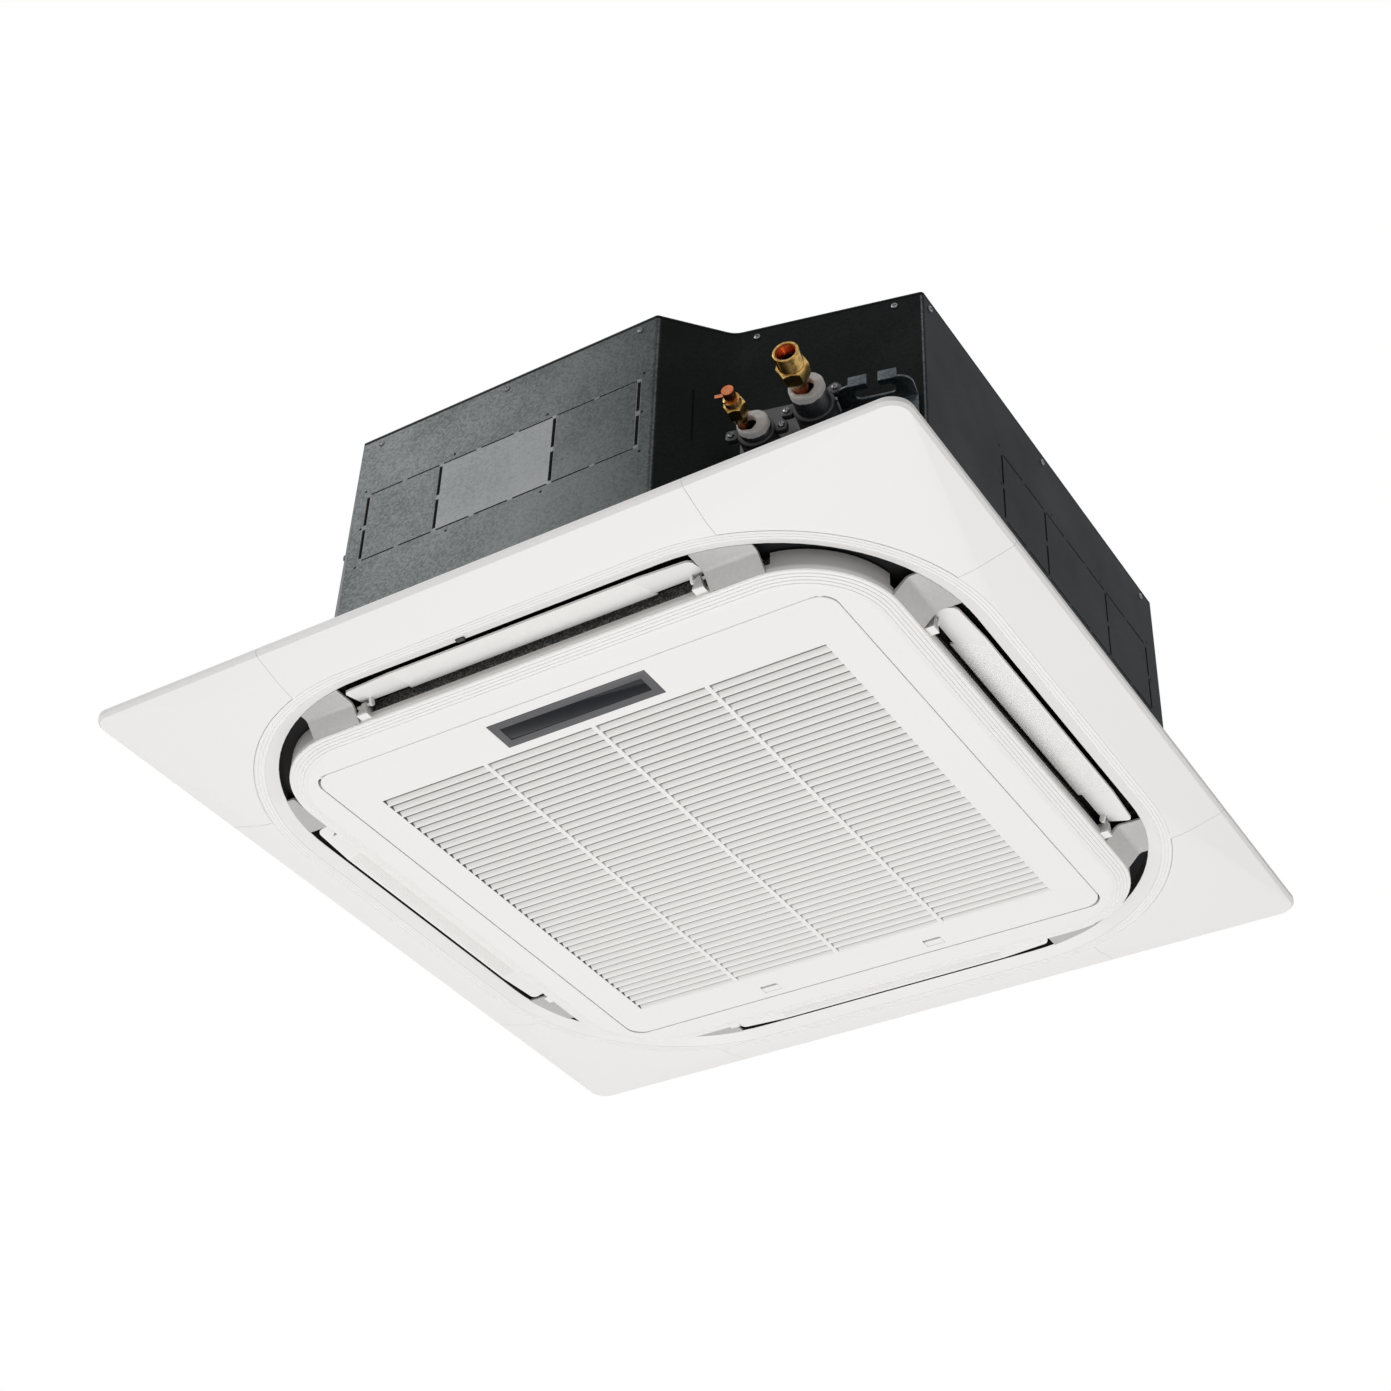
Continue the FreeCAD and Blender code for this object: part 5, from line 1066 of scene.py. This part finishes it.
panel_white = moulding("panel_white", PANEL_TONES, PANEL_ROUGH, PANEL_GRAIN, PANEL_RELIEF)
coat(masked_moulding("frame_white", lining_and_duct_shade), "panel_frame")
for corner in CORNERS:
    coat(panel_white, "corner_cover_" + corner)


def square_ridges(places, core):
    """Thin ridges round a square's lower face, each at a distance out and a level."""
    ridges = bmesh.new()
    for out, level in places:
        ridge = half_round(out, level, RIDGE_HALF, -RIDGE_HEIGHT)
        sweep_square(ridges, ridge, core, ARC_STEPS)
    return ridges


panel_ridges = square_ridges([(out, PANEL_FACE) for out in RIDGES_OUT], RING_CORE)
make_piece("panel_ridges", panel_ridges, panel_white, crease=RIDGE_CREASE)

clip = bmesh.new()
bmesh.ops.create_cube(clip, size=1.0)
bmesh.ops.scale(clip, verts=clip.verts, vec=CLIP_SIZE)
ease(clip, clip.edges[:], CLIP_EASE, CLIP_EASE_STEPS)
bmesh.ops.translate(clip, verts=clip.verts, vec=CLIP_PLACE)
make_piece("lip_clip", clip, works_black)

# Island frame: one white moulding with the louvre posts and curved corner guides. Five ridges run
# round its sloped rim; dark, speckled painted shade covers the wall behind the louvres, and a
# lighter painted shade greys the corner guides' outer walls.
ISLAND_CORE = 0.252
ISLAND_OUT = 0.104
ISLAND_RIM = -0.032
ISLAND_SLOPE = 0.3
ISLAND_RIDGE_START = 0.35
ISLAND_RIDGE_PITCH = 0.0036
ISLAND_RIDGES = 5
# Painted shade on the wall behind the louvres: its reach, level, tones and speckle.
LOUVRE_SHADE_OUT = (0.086, 0.0945)
LOUVRE_SHADE_LEVEL = -0.0306
LOUVRE_SHADE_TONES = ((0.085, 0.083, 0.080), (0.36, 0.355, 0.35))
LOUVRE_SHADE_SPECKLE = 520.0
# Painted shade on the corner guides' outer walls.
GUIDE_PAINTED_SHADE = (0.40, 0.39, 0.38)
GUIDE_SHARE = 0.75
GUIDE_FADE = (0.001, 0.006)
STUD_ALONG = 0.213
STUD_LEVEL = -0.0295
STUD_RADIUS = 0.0019
STUD_PROUD = 0.0009
STUD_STEPS = 16


def louvre_and_guide_shade(tree, place):
    z = axes(tree, place)["Z"]
    out = patterned(tree, square_distance, place, ISLAND_CORE)["Distance"]
    # Painted shade: the wall behind the louvres is made dark, with a speckle.
    shade_behind_louvres = both(
        tree, inside(tree, out, LOUVRE_SHADE_OUT[0], LOUVRE_SHADE_OUT[1], HARD_EDGE),
        rising(tree, z, LOUVRE_SHADE_LEVEL, LOUVRE_SHADE_LEVEL + WALL_FADE),
    )
    fine = {"Vector": place, "Scale": LOUVRE_SHADE_SPECKLE, "Detail": 4.0}
    shade_speckle = rising(tree, node(tree, "TexNoise", fine).outputs["Fac"], 0.42, 0.72)
    louvre_shade = two_tone(tree, LOUVRE_SHADE_TONES[0], LOUVRE_SHADE_TONES[1], shade_speckle)
    # Painted shade: the corner guides' outer walls are greyed.
    guide_shade = both(
        tree, rising(tree, out, LOUVRE_SHADE_OUT[1], LOUVRE_SHADE_OUT[1] + WALL_FADE),
        rising(tree, z, LOUVRE_SHADE_LEVEL + GUIDE_FADE[0], LOUVRE_SHADE_LEVEL + GUIDE_FADE[1]),
    )
    shown = either(tree, shade_behind_louvres, between(tree, guide_shade, 0.0, GUIDE_SHARE))
    return shown, two_tone(tree, GUIDE_PAINTED_SHADE, louvre_shade, shade_behind_louvres)


coat(masked_moulding("island_white", louvre_and_guide_shade), "island_frame")
rim_places = []
for count in range(ISLAND_RIDGES):
    out = ISLAND_OUT - ISLAND_RIDGE_PITCH * (count + ISLAND_RIDGE_START)
    rim_places.append((out, ISLAND_RIM - ISLAND_SLOPE * (ISLAND_OUT - out)))
island_ridges = square_ridges(rim_places, ISLAND_CORE)
make_piece("island_ridges", island_ridges, panel_white, crease=RIDGE_CREASE)

stud = bmesh.new()
spin_profile(stud, [
    (0.0, -STUD_PROUD), (STUD_RADIUS, -STUD_PROUD), (STUD_RADIUS, STUD_PROUD * 0.3),
    (STUD_RADIUS * 0.7, STUD_PROUD), (0.0, STUD_PROUD),
], STUD_STEPS)
stud_mesh = mesh_from("stud", stud)
studs = bmesh.new()
stud_out = Matrix.Rotation(math.radians(90.0), 4, "X")
for quarter in range(4):
    side = Matrix.Rotation(math.pi / 2 * quarter, 4, "Z")
    for along in (-STUD_ALONG, STUD_ALONG):
        spot = Matrix.Translation((along, -(ISLAND_CORE + ISLAND_OUT), STUD_LEVEL))
        add_copy(studs, stud_mesh, side @ spot @ stud_out)
make_piece("rim_studs", studs, forged_brass)

# Bridges: eight bent arms of pale grey plastic that carry the island across the outlet slot,
# snapped in at both ends. Their moulded edges are round and catch the light.
SIDES = ("back", "left", "front", "right")
BRIDGE_TONES = ((0.35, 0.34, 0.33), (0.53, 0.52, 0.51))
BRIDGE_ROUGH = 0.34
BRIDGE_GRAIN = 260.0
BRIDGE_RELIEF = 0.0005
BRIDGE_EASE = 0.0007

bridge_grey = moulding("bridge_grey", BRIDGE_TONES, BRIDGE_ROUGH, BRIDGE_GRAIN, BRIDGE_RELIEF)
for side in SIDES:
    for end in "ab":
        name = "bridge_%s_%s" % (side, end)
        eased_copy(name + "_arm", name, BRIDGE_EASE, bridge_grey)

# Louvres: four white flaps that swing on pins in the island's posts. Fine ribs run the length of
# each flap's lower face, to keep drops of dew from running.
LOUVRE_PIVOT = (0.0, 0.361, -0.015)
LOUVRE_TILT = math.radians(15.0)
RIB_LEVEL = 0.0063
RIB_HALF_LENGTH = 0.1455
RIB_START = -0.0078
RIB_PITCH = 0.0021
RIB_COUNT = 18
RIB_RADIUS = 0.00042
RIB_STEPS = 8
RIB_END_TURN = SHARP_TURN * 1.5

rib = bmesh.new()
bmesh.ops.create_cone(
    rib, cap_ends=True, segments=RIB_STEPS, radius1=RIB_RADIUS, radius2=RIB_RADIUS,
    depth=RIB_HALF_LENGTH * 2,
)
lengthwise = Matrix.Rotation(math.pi / 2, 3, "Y")
bmesh.ops.rotate(rib, verts=rib.verts, cent=(0, 0, 0), matrix=lengthwise)
rib_ends = [edge for edge in rib.edges if edge.calc_face_angle() > RIB_END_TURN]
ease(rib, rib_ends, RIB_RADIUS * 0.5)
rib_mesh = mesh_from("rib", rib)
tilted = Matrix.Translation(LOUVRE_PIVOT) @ Matrix.Rotation(LOUVRE_TILT, 4, Vector((-1, 0, 0)))
for quarter, side in enumerate(SIDES):
    coat(panel_white, "louvre_" + side)
    hung = Matrix.Rotation(math.pi / 2 * quarter, 4, "Z") @ tilted
    ribs = bmesh.new()
    for count in range(RIB_COUNT):
        out = RIB_START + RIB_PITCH * count
        add_copy(ribs, rib_mesh, hung @ Matrix.Translation((0, out, RIB_LEVEL)))
    make_piece("louvre_ribs_" + side, ribs, panel_white, "louvre_" + side)

# Intake grille: one white moulding of slanted slats and dividers, hinged at the display's side.
# Painted shade greys the slats above their lower edges and darkens their roots and left ends; two
# white thumb latches hold the far side.
GRILLE_FACE = -0.038
SLAT_MIDDLE = -0.0352
SLAT_ROOT = -0.0345
# Painted shade on the slats: grey above their lower edges, dark at their roots and left ends.
SLAT_HALF_SHADE = (0.70, 0.69, 0.67)
SLAT_SHADE = (0.16, 0.156, 0.147)
SLAT_EDGE_BAND = 0.0002
SLAT_END = 0.0008
SLAT_END_FADE = (0.0003, 0.0007)
FIELD_HALF = 0.268
FIELD_FRONT = -0.242
FIELD_BACK = 0.2611
LATCH_EASE = 0.0006


def shaded_slats(tree, place):
    x, y, z = axes(tree, place)
    # Painted shade: the slats grey above their lower edges and darken at their roots.
    half_shade = rising(tree, z, GRILLE_FACE + SLAT_EDGE_BAND, SLAT_MIDDLE)
    root = rising(tree, z, SLAT_MIDDLE, SLAT_ROOT)
    # Painted shadow at the slats' left ends, where they meet the end wall.
    end = both(
        tree, near(tree, x, -FIELD_HALF, SLAT_END),
        rising(tree, z, GRILLE_FACE + SLAT_END_FADE[0], GRILLE_FACE + SLAT_END_FADE[1]),
    )
    shade = either(tree, root, end)
    field = both(
        tree, inside(tree, x, -FIELD_HALF, FIELD_HALF, SLAT_EDGE_BAND),
        inside(tree, y, FIELD_FRONT, FIELD_BACK, SLAT_EDGE_BAND),
    )
    depth = either(tree, between(tree, half_shade, 0.1, 0.85), shade)
    return both(tree, field, depth), two_tone(tree, SLAT_HALF_SHADE, SLAT_SHADE, shade)


coat(masked_moulding("grille_white", shaded_slats), "intake_grille")
for side in ("left", "right"):
    name = "grille_latch_" + side
    eased_copy(name + "_thumb", name, LATCH_EASE, panel_white, "latch_" + side)

# Air filter: a black moulded frame with a fine woven net across its cells. It lies on the slats,
# swings down with the grille, and is lifted out there for washing.
NET_PITCH = 0.0022
NET_TONES = ((0.006, 0.006, 0.006), (0.05, 0.05, 0.052))
NET_ROUGH = (0.8, 0.5)
NET_RELIEF = 0.0004


def filter_net():
    material, tree, shader, place = blank_material("filter_net")
    threads = [
        rising(tree, stripes(tree, axis, NET_PITCH), 0.2, 0.8) for axis in axes(tree, place)[:2]
    ]
    weave = either(tree, *threads)
    colour = two_tone(tree, NET_TONES[0], NET_TONES[1], weave)
    dress(tree, shader, colour, between(tree, weave, *NET_ROUGH))
    roughen(tree, shader, weave, 0.5, NET_RELIEF)
    return material


coat(filter_net(), "air_filter")

# Display: a dark grey bezel set in the grille round a smoked window. Both are eased mouldings, and
# the window is polished.
BEZEL_TONES = ((0.054, 0.054, 0.060), (0.076, 0.076, 0.083))
BEZEL_ROUGH = 0.42
BEZEL_GRAIN = 1200.0
BEZEL_RELIEF = 0.0002
BEZEL_EASE = 0.0004
WINDOW_TONES = ((0.003, 0.003, 0.006), (0.006, 0.007, 0.012))
WINDOW_ROUGH = 0.12
WINDOW_GRAIN = 60.0
WINDOW_RELIEF = 0.00002
WINDOW_SHINE = 0.15

bezel_grey = moulding("bezel_grey", BEZEL_TONES, BEZEL_ROUGH, BEZEL_GRAIN, BEZEL_RELIEF)
window_black = moulding("window_black", WINDOW_TONES, WINDOW_ROUGH, WINDOW_GRAIN, WINDOW_RELIEF)
window_shader = window_black.node_tree.nodes["Principled BSDF"]
window_shader.inputs["Specular IOR Level"].default_value = WINDOW_SHINE
eased_copy("bezel_frame", "display_bezel", BEZEL_EASE, bezel_grey, "grille")
eased_copy("window_pane", "display_window", BEZEL_EASE, window_black, "grille")
